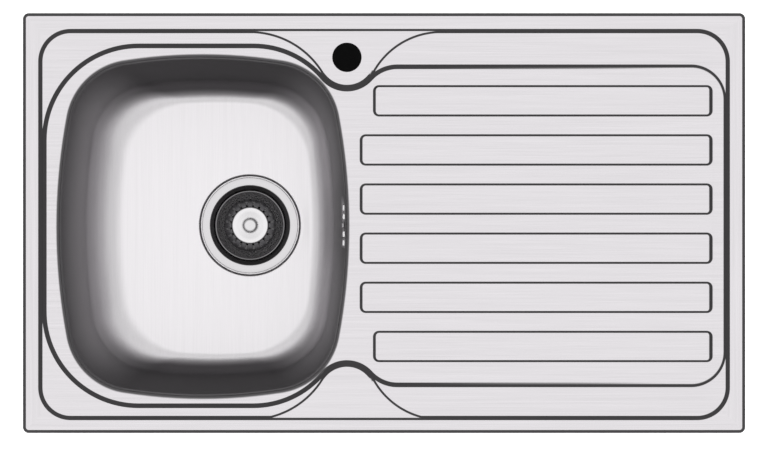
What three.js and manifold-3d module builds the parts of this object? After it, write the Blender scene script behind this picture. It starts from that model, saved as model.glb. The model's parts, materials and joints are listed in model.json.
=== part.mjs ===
// Inset kitchen sink, 860 x 500 mm: one bowl on the left, a ribbed drainboard on the right,
// pressed from 0.8 mm stainless sheet, with its basket strainer, overflow and fixing clips.
//
// Frame: millimetres, +X right, +Y to the tap side, +Z up. The origin is the middle of the
// sink in plan, at the height of the worktop's top face (z = 0), where the rim strip rests.

import * as THREE from 'three';
import { mergeVertices } from 'three/addons/utils/BufferGeometryUtils.js';
import Module from 'manifold-3d';

const wasm = await Module();
wasm.setup();

// ---------------------------------------------------------------- driving dimensions

const sinkLength = 860;
const sinkWidth = 500;
const sheet = 0.8; // stainless sheet
const seatGap = 0.3; // between pieces that touch
const cutPast = 6; // how far a cutting solid runs past the faces that it cuts
const bite = 2; // how far joined solids reach into each other

// Rim
const rimHeight = 4.5; // top of the rim above the worktop
const rimEndWidth = 18.4;
const rimBackWidth = 19;
const rimFrontWidth = 15.5;
const rimEdgeRun = 3.1; // outer edge slopes down over this run
const rimEdgeDrop = 2.7;
const outerCornerRadius = 7;
const rimCornerRadius = 38.7; // inner corners of the rim
const lipGap = 0.3; // folded edge above the worktop

// Steps of the pressing, each measured down from the rim
const ledgeDrop = 2.2;
const panelDrop = 4.2;
const basinDrop = 8.8;
const wallRun = 1.15; // run of a step's wall for each millimetre of height

// Basin: the sunk area round the bowl and the drainboard, mirrored about its axis
const basinAxisY = -3.3;
const bowlSideHalfWidth = 216.9;
const boardSideHalfWidth = 192;
const bowlSideCornerRadius = 115;
const boardSideCornerRadius = 41.6;
const basinMerge = 0.45; // how far the basin's end walls reach past the rim's
const boardRise = 3; // drainboard's far end above its bowl end
const boardStartGap = 11.5; // from the bowl's right edge to where the board starts to rise

// Tap ledge, and the boss that mirrors it at the front
const tapHoleDiameter = 35;
const tapHoleOffset = 1.3; // right of the bowl's right edge
const tapHoleMargin = 52.7; // from the back edge
const ledgeNoseRadius = 35.2;
const noseBlendBowlSide = 111;
const noseBlendBoardSide = 46;
const ledgeFlankBowlReach = 115.3; // from the tap hole to the flank's centre
const ledgeFlankBowlRadius = 102.3;
const ledgeFlankBoardReach = 112;
const ledgeFlankBoardRadius = 92.8;
const ledgeFlankStart = 1.47; // radians, where a flank leaves the rim's wall
const ledgeFlankBowlEnd = 0.35;
const ledgeFlankBoardEnd = 2.8;

// Drainboard ribs
const ribCount = 6;
const ribPitch = 58.5;
const ribWidth = 37.1;
const ribHeight = 2;
const ribRun = 1.1;
const ribCornerRadius = 7;
const ribOffsetY = 2.6; // middle of the ribs from the basin's axis
const ribEndMargin = 38.7; // from the right edge
const innerRibStart = 5.1; // past the start of the board
const outerRibStart = 20.9;

// Bowl
const bowlMargin = 44.1; // from the left edge to the bowl's opening
const bowlOffsetY = -0.9; // from the basin's axis
const bowlLength = 340.4;
const bowlWidth = 401.8;
const bowlDepth = 150; // from the basin floor to the edge of the bowl floor
const bowlEdgeRadius = 5.4; // rolled edge between deck and bowl
const bowlSeamDepth = 9.7; // weld seam below the basin floor
const sideCrownRadius = 710;
const endCrownRadius = 600;
const bowlCornerRadius = 78;
const bowlFootHeight = 34; // height of the curve between wall and floor
const bowlFloorFall = 2.5; // from the floor's edge to the waste recess
const midWallShare = 0.45; // height of the wall's middle ring
const footSteps = 5;
const rollTurn = 1.2; // radians of the rolled edge that are cut, up from the wall
const rollRun = 2.4; // straight run past them
// how far each wall leans in above its foot, and how far the foot then reaches in
const bowlLean = { left: 30, right: 14, ends: 38 };
const bowlFoot = { left: 42, right: 26, ends: 22 };

// Waste: recess in the bowl floor and the strainer in it
const wasteOffsetX = 55.1; // from the middle of the bowl
const wasteOffsetY = 1.5;
const recessRadius = 61;
const recessDepth = 3.5;
const recessStep = 2; // run of the recess's wall
const wasteHoleRadius = 46.3;
const flangeRadius = 57.5;
const flangeThickness = 1;
const flangeGasketThickness = 1.2;
const flangeEdgeTaper = 0.4;
const mouthRadius = 48;
const mouthLipRun = 2.6;
const mouthLipDrop = 1.4;
const cupRadius = 43.3;
const cupDepth = 44;
const cupSheet = 0.8;
const plugSeatRadius = 19;
const throatDepth = 8;
const throatChamfer = 1;
const mouthDepth = 5.5;
const cupFootRadius = 2.2;
const spiderThickness = 2.4;
const spiderArmWidth = 3;
const spiderHubRadius = 7;
const boltRadius = 3;
const boltHeadRadius = 5.5;
const boltHeadHeight = 3.4;
const boltHeadChamfer = 1.2;
const boltEndRise = 1; // bolt's end above the hub's underside
const insertRadius = 5.2;
const flangeGasketInset = 1;
const bodyGasketThickness = 2;
const bodyGasketInset = 2;
const bodyFlangeRadius = 60;
const bodyWall = 3;
const bodyBoreRadius = 46.6;
const spigotRadius = 23.9;
const spigotBore = 20;
const spigotLength = 28;
const bodyConeHeight = 16;
const bodyConeGap = 2; // between the flange's cup and the body's cone
const bodyConeWall = 2; // measured down through the cone
const bodyFlangeThickness = 4;
const bodyHubRadius = 8.5;
const bodyHubHeight = 11;
const inletRadius = 11;
const inletBore = 8;
const inletReach = 74; // from the waste's axis to the inlet's end
const inletDrop = 33; // inlet's axis below the bowl's underside

// Basket
const basketRimRadius = 42;
const basketRimDrop = 3.4; // below the flange's face
const basketRoll = 1; // radius of the rolled rim
const basketRollDrop = 1.5; // rim's lower edge below its top
const basketDepth = 22;
const basketFloorRadius = 30;
const basketCapRadius = 22;
const basketCapRise = 1.6;
const basketSheet = 0.8;
const slotCount = 20;
const slotWidth = 2.2;
const slotInnerRadius = 22.8;
const slotOuterRadius = 29;
const wallHoleRadius = 1.6;
const wallHoleRows = [0.3, 0.62]; // as shares of the wall's height
const postRadius = 3;
const postShoulderRadius = 5;
const postFootLength = 1; // below the clip
const knobRadius = 7.75;
const knobHeight = 11;
const knobCapThickness = 2.6;
const knobFootRadius = 5.75;
const knobNeckRadius = 4.75;
const knobNeckHeight = 3;
const knobCapHeight = 3.6;
const knobEdgeDrop = 2.2; // widest line below the top
const knobBevel = 0.8;
const knobCrownRadius = 4.35;
const stopperRadius = 24;
const stopperThickness = 7;
const stopperTopRadius = 20;
const stopperChamfer = 1.5;
const stopperHollowRadius = 9;
const stopperHollowHeight = 3.5;
const clipRadius = 5.5;
const clipThickness = 1.2;

// Overflow in the bowl's right wall
const overflowDrop = 26.5; // centre of the slots below the basin floor
const overflowSlotPitch = 10.5;
const overflowSlotWidth = 7.4;
const overflowSlotHeight = 20;
const overflowScrewRadius = 2;
const overflowHeadRadius = 3.25;
const overflowHeadHeight = 1.8;
const overflowScrewLength = 20;
const overflowScrewSlotWidth = 0.8;
const overflowScrewSlotDepth = 0.9;
const overflowBossRadius = 5;
const overflowBoxWidth = 62;
const overflowBoxHeight = 31;
const overflowBoxDepth = 24;
const overflowWall = 4;
const overflowChamfer = 5;
const headSpigotLength = 12;
const overflowGasketThickness = 2;
const overflowGasketInset = 1;
const pipeRadius = 9;
const pipeWall = 1.6;
const pipeBend = 30; // radius of the bend's axis
const pipeBendSteps = 5;
const pipeSides = 10;
const nutRadius = 15;
const nutGripLength = 9;
const nutWall = 3;
const nutChamfer = 2;
const sealThickness = 2;

// Rim strip and damping pad
const stripWidth = 8;
const stripInset = 3.4;
const stripInnerRadius = 4;
const padThickness = 2;
const padHalfSteps = 6;
const padOuterShare = 0.12; // of the way from the floor's edge to the waste recess
const padInnerShare = 0.62;

// Fixing clips: a lug under the sheet with a tapped boss, a screw that climbs in it, and a
// claw that rides up on the screw's head and swings out under the worktop
const strapWidth = 8;
const strapThickness = 1.5;
const strapLegOffset = 9.5; // from the screw's axis to the leg's inner face
const strapToeReach = 5;
const bossRadius = 4;
const bossTopDrop = 20; // below the sheet's underside
const bossHeight = 6;
const clipScrewRadius = 2.5;
const clipScrewHeadRadius = 4.6;
const clipScrewHeadHeight = 3.6;
const clipScrewChamfer = 1;
const clipScrewTipRise = 1.2; // screw's tip above its boss at rest
const driverSlotWidth = 1.2;
const driverSlotDepth = 1.6;
const runningGap = 0.3; // between a screw and its bore
const washerRadius = 5.5;
const washerThickness = 1.2;
const clawDrop = 50; // claw's underside at rest, below the sheet's underside
const clawThickness = 2.5;
const clawHubRadius = 7;
const clawReach = 36;
const clawTipWidth = 8;
const clawToothHeight = 5.5;
const clawToothLength = 2.5;
const clawRootShare = 0.8; // of the turn at which the arm's sides would meet the hub
const clipFromLeft = 180;
const clipsFromRight = [330, 100];

// Sides of the round pieces
const basketSegments = 30;
const tapHoleSegments = 28;
const wasteSegments = 20;
const pinSegments = 16;
const nutSegments = 12;
const clipScrewSegments = 8;
const clipSegments = 6;

// ---------------------------------------------------------------- levels and places

const leftEnd = -sinkLength / 2;
const rightEnd = sinkLength / 2;
const bowlX = leftEnd + bowlMargin + bowlLength / 2;
const bowlY = basinAxisY + bowlOffsetY;
const bowlRightX = bowlX + bowlLength / 2;
const wasteX = bowlX + wasteOffsetX;
const wasteY = bowlY + wasteOffsetY;
const tapHoleX = bowlRightX + tapHoleOffset;
const tapHoleY = sinkWidth / 2 - tapHoleMargin;
const boardStartX = bowlRightX + boardStartGap;
const ribEndX = rightEnd - ribEndMargin;
const ribMiddleY = basinAxisY + ribOffsetY;
const rimTop = rimHeight;
const ledgeTop = rimTop - ledgeDrop;
const panelTop = rimTop - panelDrop;
const basinTop = rimTop - basinDrop;
const bowlSeamZ = basinTop - bowlSeamDepth;
const sheetShift = sheet * Math.hypot(1, wallRun); // sheet's width measured level through a wall
const ribSheetShift = sheet * Math.hypot(1, ribRun);
const rimWallRun = panelDrop * wallRun;
const rimInside = {
  left: leftEnd + rimEndWidth,
  right: rightEnd - rimEndWidth,
  back: sinkWidth / 2 - rimBackWidth,
  front: -sinkWidth / 2 + rimFrontWidth,
};
const boardEndX = rimInside.right - rimWallRun;
const boardSlope = boardRise / (boardEndX - boardStartX);
const boardTop = (x) => basinTop + boardSlope * (x - boardStartX);
const bowlFloorZ = basinTop - bowlDepth;
const recessTopZ = bowlFloorZ - bowlFloorFall;
const recessZ = recessTopZ - recessDepth;
const bowlUnderZ = recessZ - sheet;
const flangeUnderZ = recessZ + flangeGasketThickness + 2 * seatGap;
const flangeTopZ = flangeUnderZ + flangeThickness;
const cupFloorZ = flangeTopZ - cupDepth;
const spiderZ = cupFloorZ - throatDepth;
const bodyTopZ = bowlUnderZ - bodyGasketThickness - 2 * seatGap;
const inletZ = bowlUnderZ - inletDrop;

// ---------------------------------------------------------------- materials

const steel = () => new THREE.MeshStandardMaterial({ color: 0xc9ccce, roughness: 0.32, metalness: 1 });
const zinc = () => new THREE.MeshStandardMaterial({ color: 0xb4b8ba, roughness: 0.45, metalness: 1 });
const brass = () => new THREE.MeshStandardMaterial({ color: 0xb89a55, roughness: 0.4, metalness: 1 });
const whitePlastic = () => new THREE.MeshStandardMaterial({ color: 0xeceae4, roughness: 0.5, metalness: 0 });
const blackRubber = () => new THREE.MeshStandardMaterial({ color: 0x222324, roughness: 0.8, metalness: 0 });
const greyFoam = () => new THREE.MeshStandardMaterial({ color: 0x55585a, roughness: 0.95, metalness: 0 });

// ---------------------------------------------------------------- solids

const quarter = Math.PI / 2;

function toSolid(geometry) {
  const bare = geometry.clone();
  bare.deleteAttribute('normal');
  bare.deleteAttribute('uv');
  const merged = mergeVertices(bare, 1e-5);
  const vertProperties = new Float32Array(merged.attributes.position.array);
  const triVerts = new Uint32Array(merged.index.array);
  return new wasm.Manifold(new wasm.Mesh({ numProp: 3, vertProperties, triVerts }));
}

function toGeometry(solid) {
  const mesh = solid.getMesh();
  const geometry = new THREE.BufferGeometry();
  geometry.setAttribute('position', new THREE.BufferAttribute(new Float32Array(mesh.vertProperties), 3));
  geometry.setIndex(new THREE.BufferAttribute(new Uint32Array(mesh.triVerts), 1));
  geometry.computeVertexNormals();
  return geometry;
}

function indexed(points, faces) {
  const geometry = new THREE.BufferGeometry();
  geometry.setAttribute('position', new THREE.Float32BufferAttribute(points.flat(), 3));
  geometry.setIndex(faces);
  return geometry;
}

// Faces between neighbouring rings of one length. Rings run anticlockwise seen from +Z.
function ringWalls(ringLength, ringCount, closed) {
  const faces = [];
  const last = closed ? ringCount : ringCount - 1;
  for (let ring = 0; ring < last; ring += 1) {
    const low = ring * ringLength;
    const high = ((ring + 1) % ringCount) * ringLength;
    for (let step = 0; step < ringLength; step += 1) {
      const next = (step + 1) % ringLength;
      faces.push(low + step, low + next, high + next);
      faces.push(low + step, high + next, high + step);
    }
  }
  return faces;
}

// A solid between rings stacked upwards, closed by flat caps.
function loft(rings) {
  const ringLength = rings[0].length;
  const faces = ringWalls(ringLength, rings.length, false);
  const cap = (ring, start, up) => {
    const contour = ring.map(([x, y]) => new THREE.Vector2(x, y));
    for (const [a, b, c] of THREE.ShapeUtils.triangulateShape(contour, [])) {
      faces.push(start + a, start + (up ? b : c), start + (up ? c : b));
    }
  };
  cap(rings[0], 0, false);
  cap(rings.at(-1), (rings.length - 1) * ringLength, true);
  return toSolid(indexed(rings.flat(), faces));
}

// A ring-shaped solid whose section is a closed loop of rings.
function ringLoft(rings) {
  return indexed(rings.flat(), ringWalls(rings[0].length, rings.length, true));
}

function cylinder(radius, low, high, x = 0, y = 0, segments = 24) {
  const geometry = new THREE.CylinderGeometry(radius, radius, high - low, segments);
  geometry.rotateX(quarter);
  geometry.translate(x, y, (low + high) / 2);
  return toSolid(geometry);
}

function cylinderAlongX(radius, low, high, y, z, segments = 20) {
  const geometry = new THREE.CylinderGeometry(radius, radius, high - low, segments);
  geometry.rotateZ(-quarter);
  geometry.translate((low + high) / 2, y, z);
  return toSolid(geometry);
}

function box(low, high) {
  const size = high.map((value, axis) => value - low[axis]);
  const geometry = new THREE.BoxGeometry(...size);
  geometry.translate(...high.map((value, axis) => (value + low[axis]) / 2));
  return toSolid(geometry);
}

// A solid of revolution about Z through (x, y) from [radius, z] points, which run so that
// the solid lies on their left when radius points right and z points up.
function revolve(profile, segments, x = 0, y = 0) {
  const points = profile.map(([radius, z]) => new THREE.Vector2(radius, z));
  const geometry = new THREE.LatheGeometry(points, segments);
  geometry.rotateX(quarter);
  geometry.translate(x, y, 0);
  return toSolid(geometry);
}

// Radius of a faceted bore that leaves the running gap round a round pin.
const clearBore = (pinRadius, segments) => (pinRadius + runningGap) / Math.cos(Math.PI / segments);

// A closed ring section for revolve: the first point is repeated at the end.
const closedLoop = (points) => [...points, points[0]];

// A prism with an outline in the XZ plane, from one Y to another.
function prismAlongY(outline, lowY, highY) {
  const shape = new THREE.Shape(outline.map(([x, z]) => new THREE.Vector2(x, z)));
  const geometry = new THREE.ExtrudeGeometry(shape, { depth: highY - lowY, bevelEnabled: false });
  geometry.rotateX(quarter);
  geometry.translate(0, highY, 0);
  return toSolid(geometry);
}

// ---------------------------------------------------------------- outlines

// Outline points carry their outward normal, so an outline can be offset point by point.
function arc(centreX, centreY, radius, from, to, segments, hollow = false) {
  const points = [];
  for (let step = 0; step <= segments; step += 1) {
    const angle = from + ((to - from) * step) / segments;
    const out = hollow ? -1 : 1;
    points.push({
      x: centreX + radius * Math.cos(angle),
      y: centreY + radius * Math.sin(angle),
      nx: out * Math.cos(angle),
      ny: out * Math.sin(angle),
    });
  }
  return points;
}

function roundedRectangle(left, right, front, back, radius, segments) {
  const turn = (x, y, start) => arc(x, y, radius, start, start + quarter, segments);
  return [
    ...turn(right - radius, back - radius, 0),
    ...turn(left + radius, back - radius, quarter),
    ...turn(left + radius, front + radius, 2 * quarter),
    ...turn(right - radius, front + radius, 3 * quarter),
  ];
}

const ringAt = (outline, offset, z) =>
  outline.map((point) => {
    const x = point.x + point.nx * offset;
    return [x, point.y + point.ny * offset, typeof z === 'function' ? z(point.x) : z];
  });

const mirrored = (outline, axisY) =>
  outline.map((point) => ({ ...point, y: 2 * axisY - point.y, ny: -point.ny })).reverse();

const outerOutline = roundedRectangle(
  leftEnd, rightEnd, -sinkWidth / 2, sinkWidth / 2, outerCornerRadius, 3,
);

const rimOutline = roundedRectangle(
  rimInside.left, rimInside.right, rimInside.front, rimInside.back, rimCornerRadius, 6,
);

// Basin outline where its walls meet the panel. Its back half runs from the right end to
// the left end; the nose round the tap ledge blends into the straight sides by two arcs.
function basinOutline() {
  const right = rimInside.right - rimWallRun + basinMerge;
  const left = rimInside.left + rimWallRun - basinMerge;
  const noseY = tapHoleY - basinAxisY;
  const blend = (radius, halfWidth) => {
    const centreY = halfWidth - radius;
    const reach = radius + ledgeNoseRadius;
    const run = Math.sqrt(reach ** 2 - (noseY - centreY) ** 2);
    return { radius, centreY, run, lean: Math.atan2(noseY - centreY, run) };
  };
  const board = blend(noseBlendBoardSide, boardSideHalfWidth);
  const bowl = blend(noseBlendBowlSide, bowlSideHalfWidth);
  const half = [
    ...arc(right - boardSideCornerRadius, boardSideHalfWidth - boardSideCornerRadius,
      boardSideCornerRadius, 0, quarter, 6),
    ...arc(tapHoleX + board.run, board.centreY, board.radius, quarter, Math.PI - board.lean, 4),
    ...arc(tapHoleX, noseY, ledgeNoseRadius, -board.lean, bowl.lean - Math.PI, 9, true),
    ...arc(tapHoleX - bowl.run, bowl.centreY, bowl.radius, bowl.lean, quarter, 4),
    ...arc(left + bowlSideCornerRadius, bowlSideHalfWidth - bowlSideCornerRadius,
      bowlSideCornerRadius, quarter, 2 * quarter, 9),
  ];
  const back = half.map((point) => ({ ...point, y: point.y + basinAxisY }));
  return [...back, ...mirrored(back, basinAxisY)];
}

// Ledge outline at the ledge's own level: two hollow flanks that run out along the rim's
// wall, open towards the basin, which cuts the nose.
function ledgeOutline() {
  const wallFootY = rimInside.back - ledgeDrop * wallRun;
  const flank = (x, radius, from, to) => arc(x, wallFootY - radius, radius, from, to, 6, true);
  const bowlFlank = flank(
    tapHoleX - ledgeFlankBowlReach, ledgeFlankBowlRadius, ledgeFlankStart, ledgeFlankBowlEnd,
  );
  const boardFlank = flank(
    tapHoleX + ledgeFlankBoardReach, ledgeFlankBoardRadius, ledgeFlankBoardEnd, Math.PI - ledgeFlankStart,
  );
  const rimCorner = (point, nx) => ({ x: point.x, y: rimInside.back + rimEdgeRun, nx, ny: 0 });
  return [
    rimCorner(bowlFlank[0], -1),
    ...bowlFlank,
    ...boardFlank,
    rimCorner(boardFlank.at(-1), 1),
  ];
}

// ---------------------------------------------------------------- bowl form

// Crowned rectangle: four corner arcs that blend into slightly bulging sides and ends.
function crownedRectangle(centreX, centreY, halfX, halfY, cornerRadius) {
  const sideCentre = halfX - sideCrownRadius;
  const endCentre = halfY - endCrownRadius;
  const sideReach = sideCrownRadius - cornerRadius;
  const endReach = endCrownRadius - cornerRadius;
  const gap = Math.hypot(sideCentre, endCentre);
  const along = (sideReach ** 2 - endReach ** 2 + gap ** 2) / (2 * gap);
  const away = Math.sqrt(sideReach ** 2 - along ** 2);
  // corner centre, from the crossing of the two reach circles
  const cornerX = sideCentre - (sideCentre / gap) * along - (endCentre / gap) * away;
  const cornerY = (endCentre / gap) * along - (sideCentre / gap) * away;
  const sideAngle = Math.atan2(cornerY, cornerX - sideCentre);
  const endAngle = Math.atan2(cornerY - endCentre, cornerX);
  const quadrant = [
    ...arc(sideCentre, 0, sideCrownRadius, 0, sideAngle, 2),
    ...arc(cornerX, cornerY, cornerRadius, sideAngle, endAngle, 6).slice(1),
    ...arc(0, endCentre, endCrownRadius, endAngle, quarter, 2).slice(1, -1),
  ];
  const flip = (points, fx, fy) => points.map((point) => ({
    x: point.x * fx, y: point.y * fy, nx: point.nx * fx, ny: point.ny * fy,
  }));
  const top = { x: 0, y: halfY, nx: 0, ny: 1 };
  const right = [...quadrant, top];
  const left = flip([...quadrant].reverse(), -1, 1);
  const lower = flip([...quadrant, top], -1, -1).slice(1);
  const last = flip([...quadrant].reverse(), 1, -1).slice(0, -1);
  return [...right, ...left, ...lower, ...last].map((point) => ({
    ...point, x: point.x + centreX, y: point.y + centreY,
  }));
}

const wallTopZ = basinTop - bowlEdgeRadius;
const footTopZ = bowlFloorZ + bowlFootHeight;

// Bowl's inner outline at a height: straight leaning walls, then a curved foot.
function bowlOutline(z) {
  const wallShare = Math.min(1, (wallTopZ - z) / (wallTopZ - footTopZ));
  const drop = Math.min(1, Math.max(0, (footTopZ - z) / bowlFootHeight));
  const footShare = 1 - Math.sqrt(1 - drop ** 2);
  const inset = (side) => bowlLean[side] * wallShare + bowlFoot[side] * footShare;
  const left = -bowlLength / 2 + inset('left');
  const right = bowlLength / 2 - inset('right');
  const halfX = (right - left) / 2;
  const halfY = bowlWidth / 2 - inset('ends');
  return crownedRectangle(bowlX + (left + right) / 2, bowlY, halfX, halfY, bowlCornerRadius);
}

// Rings of the bowl's inner face, from the seam down to the waste hole.
function bowlFaceRings() {
  const wallLevels = [bowlSeamZ - seatGap, footTopZ + (wallTopZ - footTopZ) * midWallShare, footTopZ];
  const footLevels = [];
  for (let step = 1; step <= footSteps; step += 1) {
    footLevels.push(footTopZ - bowlFootHeight * Math.sin((quarter * step) / footSteps));
  }
  const rings = [...wallLevels, ...footLevels].map((z) => ringAt(bowlOutline(z), 0, z));
  const floorEdge = rings.at(-1);
  rings.push(wasteCircle(floorEdge, recessRadius, recessTopZ));
  rings.push(wasteCircle(floorEdge, recessRadius - recessStep, recessZ));
  rings.push(wasteCircle(floorEdge, wasteHoleRadius, recessZ));
  return rings;
}

// A circle round the waste, each point in the direction of the ring's own.
function wasteCircle(ring, radius, z) {
  return ring.map(([x, y]) => {
    const angle = Math.atan2(y - wasteY, x - wasteX);
    return [wasteX + radius * Math.cos(angle), wasteY + radius * Math.sin(angle), z];
  });
}

// Rings moved by a distance along the face's normals; positive is away from the bowl's inside.
function thickened(rings, distance) {
  const at = (ring, step) => {
    const row = rings[Math.max(0, Math.min(rings.length - 1, ring))];
    return new THREE.Vector3(...row[(step + row.length) % row.length]);
  };
  return rings.map((row, ring) => row.map((point, step) => {
    const along = at(ring, step + 1).sub(at(ring, step - 1));
    const down = at(ring + 1, step).sub(at(ring - 1, step));
    const normal = along.cross(down).normalize();
    return at(ring, step).addScaledVector(normal, -distance).toArray();
  }));
}

function level(ring, z) {
  return ring.map(([x, y]) => [x, y, z]);
}

// ---------------------------------------------------------------- deck

// The body under one face of the sheet. Depth is 0 for the top face and the sheet's
// thickness for the underside; the sheet is the first body less the second.
function pressing(depth) {
  const shift = depth > 0 ? sheetShift : 0;
  const ribShift = depth > 0 ? ribSheetShift : 0;
  const bottom = depth > 0 ? bowlSeamZ - cutPast : bowlSeamZ;
  const above = rimTop + cutPast;

  const edgeRise = rimEdgeDrop / rimEdgeRun;
  const edgeShift = depth * Math.hypot(1, 1 / edgeRise); // level width of the sheet in the slope
  const lipTop = rimTop - rimEdgeDrop - (edgeShift - depth) * edgeRise;
  let body = loft([
    ringAt(outerOutline, -depth, depth > 0 ? bottom : lipGap),
    ringAt(outerOutline, -depth, lipTop),
    ringAt(outerOutline, -edgeShift - rimEdgeRun + depth / edgeRise, rimTop - depth),
  ]);
  if (depth === 0) {
    const core = [bottom, rimTop - bite].map((z) => ringAt(rimOutline, bite, z));
    body = body.add(loft(core));
  }

  const recess = (outline, reference, floor) => loft([floor, above].map((z) =>
    ringAt(outline, shift + (z - reference) * wallRun, z)));
  const raised = (outline, reference, floor) => loft([floor - bite, reference - depth].map((z) =>
    ringAt(outline, -shift + (reference - z) * wallRun, z)));

  body = body.subtract(recess(rimOutline, rimTop, panelTop - depth));
  const ledge = ledgeOutline();
  body = body.add(raised(ledge, ledgeTop, panelTop - depth));
  body = body.add(raised(mirrored(ledge, basinAxisY), ledgeTop, panelTop - depth));
  body = body.subtract(recess(basinOutline(), panelTop, basinTop - depth));

  const boardFloor = (x) => boardTop(x) - depth;
  const wedgeLeft = boardStartX - cutPast;
  const wedgeRight = boardEndX + bite;
  const wedge = [
    [wedgeLeft, bottom + bite], [wedgeRight, bottom + bite],
    [wedgeRight, boardFloor(wedgeRight)], [wedgeLeft, boardFloor(wedgeLeft)],
  ];
  body = body.add(prismAlongY(
    wedge, basinAxisY - boardSideHalfWidth - bite, basinAxisY + boardSideHalfWidth + bite,
  ));
  for (let rib = 0; rib < ribCount; rib += 1) {
    const outer = rib === 0 || rib === ribCount - 1;
    const y = ribMiddleY + ((ribCount - 1) / 2 - rib) * ribPitch;
    const start = boardStartX + (outer ? outerRibStart : innerRibStart);
    const foot = roundedRectangle(start, ribEndX, y - ribWidth / 2, y + ribWidth / 2, ribCornerRadius, 2);
    const ribRing = (rise) =>
      ringAt(foot, -ribShift - rise * ribRun, (x) => boardTop(x) + rise);
    body = body.add(loft([ribRing(-depth - bite), ribRing(ribHeight - depth)]));
  }
  return body.subtract(bowlMouth(depth));
}

// Space inside the rolled edge, out to the sheet's face at the given depth.
function bowlMouth(depth) {
  const turn = bowlEdgeRadius - depth;
  const rings = [];
  const low = bowlSeamZ - cutPast;
  const wall = bowlOutline(wallTopZ);
  rings.push(ringAt(bowlOutline(low), depth, low));
  for (const angle of [0, rollTurn / 2, rollTurn]) {
    const out = bowlEdgeRadius - turn * Math.cos(angle);
    rings.push(ringAt(wall, out, wallTopZ + turn * Math.sin(angle)));
  }
  const outPast = bowlEdgeRadius - turn * Math.cos(rollTurn) + rollRun;
  const zPast = wallTopZ + turn * Math.sin(rollTurn) + rollRun / Math.tan(rollTurn);
  rings.push(ringAt(wall, outPast, zPast));
  rings.push(ringAt(wall, outPast, rimTop + cutPast));
  return loft(rings);
}

function deck() {
  const radius = tapHoleDiameter / 2;
  const tapHole = cylinder(radius, basinTop, rimTop, tapHoleX, tapHoleY, tapHoleSegments);
  return toGeometry(pressing(0).subtract(pressing(sheet)).subtract(tapHole));
}

// ---------------------------------------------------------------- bowl

// Overflow frame: a point on the bowl's right wall, with the wall's outward direction.
const overflowZ = basinTop - overflowDrop;
const wallLeanRight = bowlLean.right / (wallTopZ - footTopZ);
const overflowX = bowlRightX - (wallTopZ - overflowZ) * wallLeanRight;
const overflowTilt = Math.atan(wallLeanRight);

// Stands a solid, drawn along +X from its origin, square on the wall's inner face at the overflow.
function onOverflowWall(solid) {
  const degrees = THREE.MathUtils.radToDeg(overflowTilt);
  return solid.rotate([0, degrees, 0]).translate([overflowX, wasteY, overflowZ]);
}

function overflowSlot(y) {
  const half = overflowSlotHeight / 2 - overflowSlotWidth / 2;
  const radius = overflowSlotWidth / 2;
  const slot = box([-cutPast, y - radius, -half], [cutPast, y + radius, half]);
  const end = (z) => cylinderAlongX(radius, -cutPast, cutPast, y, z, nutSegments);
  return slot.add(end(half)).add(end(-half));
}

function bowl() {
  const inner = bowlFaceRings();
  const outer = thickened(inner, sheet);
  outer[0] = level(outer[0], inner[0][0][2]);
  outer[outer.length - 1] = wasteCircle(inner.at(-1), wasteHoleRadius, bowlUnderZ);
  let solid = toSolid(ringLoft([...inner, ...outer.reverse()]));
  for (const place of [-2, -1, 1, 2]) {
    solid = solid.subtract(onOverflowWall(overflowSlot(place * overflowSlotPitch)));
  }
  const screwHole = cylinderAlongX(overflowScrewRadius + seatGap, -cutPast, cutPast, 0, 0, nutSegments);
  return toGeometry(solid.subtract(onOverflowWall(screwHole)));
}

// ---------------------------------------------------------------- rim strip, damping pad

function rimSeal() {
  const top = rimTop - sheet - seatGap;
  const inner = stripInset + stripWidth;
  const innerOutline = roundedRectangle(
    leftEnd + inner, rightEnd - inner,
    -sinkWidth / 2 + inner, sinkWidth / 2 - inner, stripInnerRadius, 3,
  );
  return ringLoft([
    ringAt(outerOutline, -stripInset, 0),
    ringAt(outerOutline, -stripInset, top),
    ringAt(innerOutline, 0, top),
    ringAt(innerOutline, 0, 0),
  ]);
}

// A slab between two sections' ends, each section a loop of four points.
function sweepSections(sections) {
  const size = sections[0].length;
  const faces = ringWalls(size, sections.length, false);
  const end = (sections.length - 1) * size;
  for (let step = 1; step < size - 1; step += 1) {
    faces.push(0, step + 1, step, end, end + step, end + step + 1);
  }
  return indexed(sections.flat(), faces);
}

// Pad stuck under the bowl's floor, on the side away from the waste: it follows the floor
// from near the floor's edge towards the recess.
function soundPad() {
  const face = bowlFaceRings();
  const edgeRow = face.length - 4;
  const near = thickened(face, sheet + seatGap);
  const far = thickened(face, sheet + seatGap + padThickness);
  const between = (rings, step, share) => {
    const edge = new THREE.Vector3(...rings[edgeRow][step]);
    return edge.lerp(new THREE.Vector3(...rings[edgeRow + 1][step]), share).toArray();
  };
  const count = face[0].length;
  const middle = count / 2;
  const sections = [];
  for (let step = middle - padHalfSteps; step <= middle + padHalfSteps; step += 1) {
    sections.push([
      between(near, step, padOuterShare), between(far, step, padOuterShare),
      between(far, step, padInnerShare), between(near, step, padInnerShare),
    ]);
  }
  return sweepSections(sections);
}

// ---------------------------------------------------------------- basket strainer waste

const onWaste = (profile, segments) =>
  toGeometry(revolve(closedLoop(profile), segments, wasteX, wasteY));

// Arms across a round passage, with a bored hub, that carry the waste's bolt.
function spider(reach, low, high, hubRadius, boreRadius) {
  const half = spiderArmWidth / 2;
  const arms = box([wasteX - reach, wasteY - half, low], [wasteX + reach, wasteY + half, high])
    .add(box([wasteX - half, wasteY - reach, low], [wasteX + half, wasteY + reach, high]));
  const hub = cylinder(hubRadius, low, high, wasteX, wasteY, pinSegments);
  const bore = cylinder(boreRadius, low - cutPast, high + cutPast, wasteX, wasteY, pinSegments);
  return arms.add(hub).subtract(bore);
}

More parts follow.
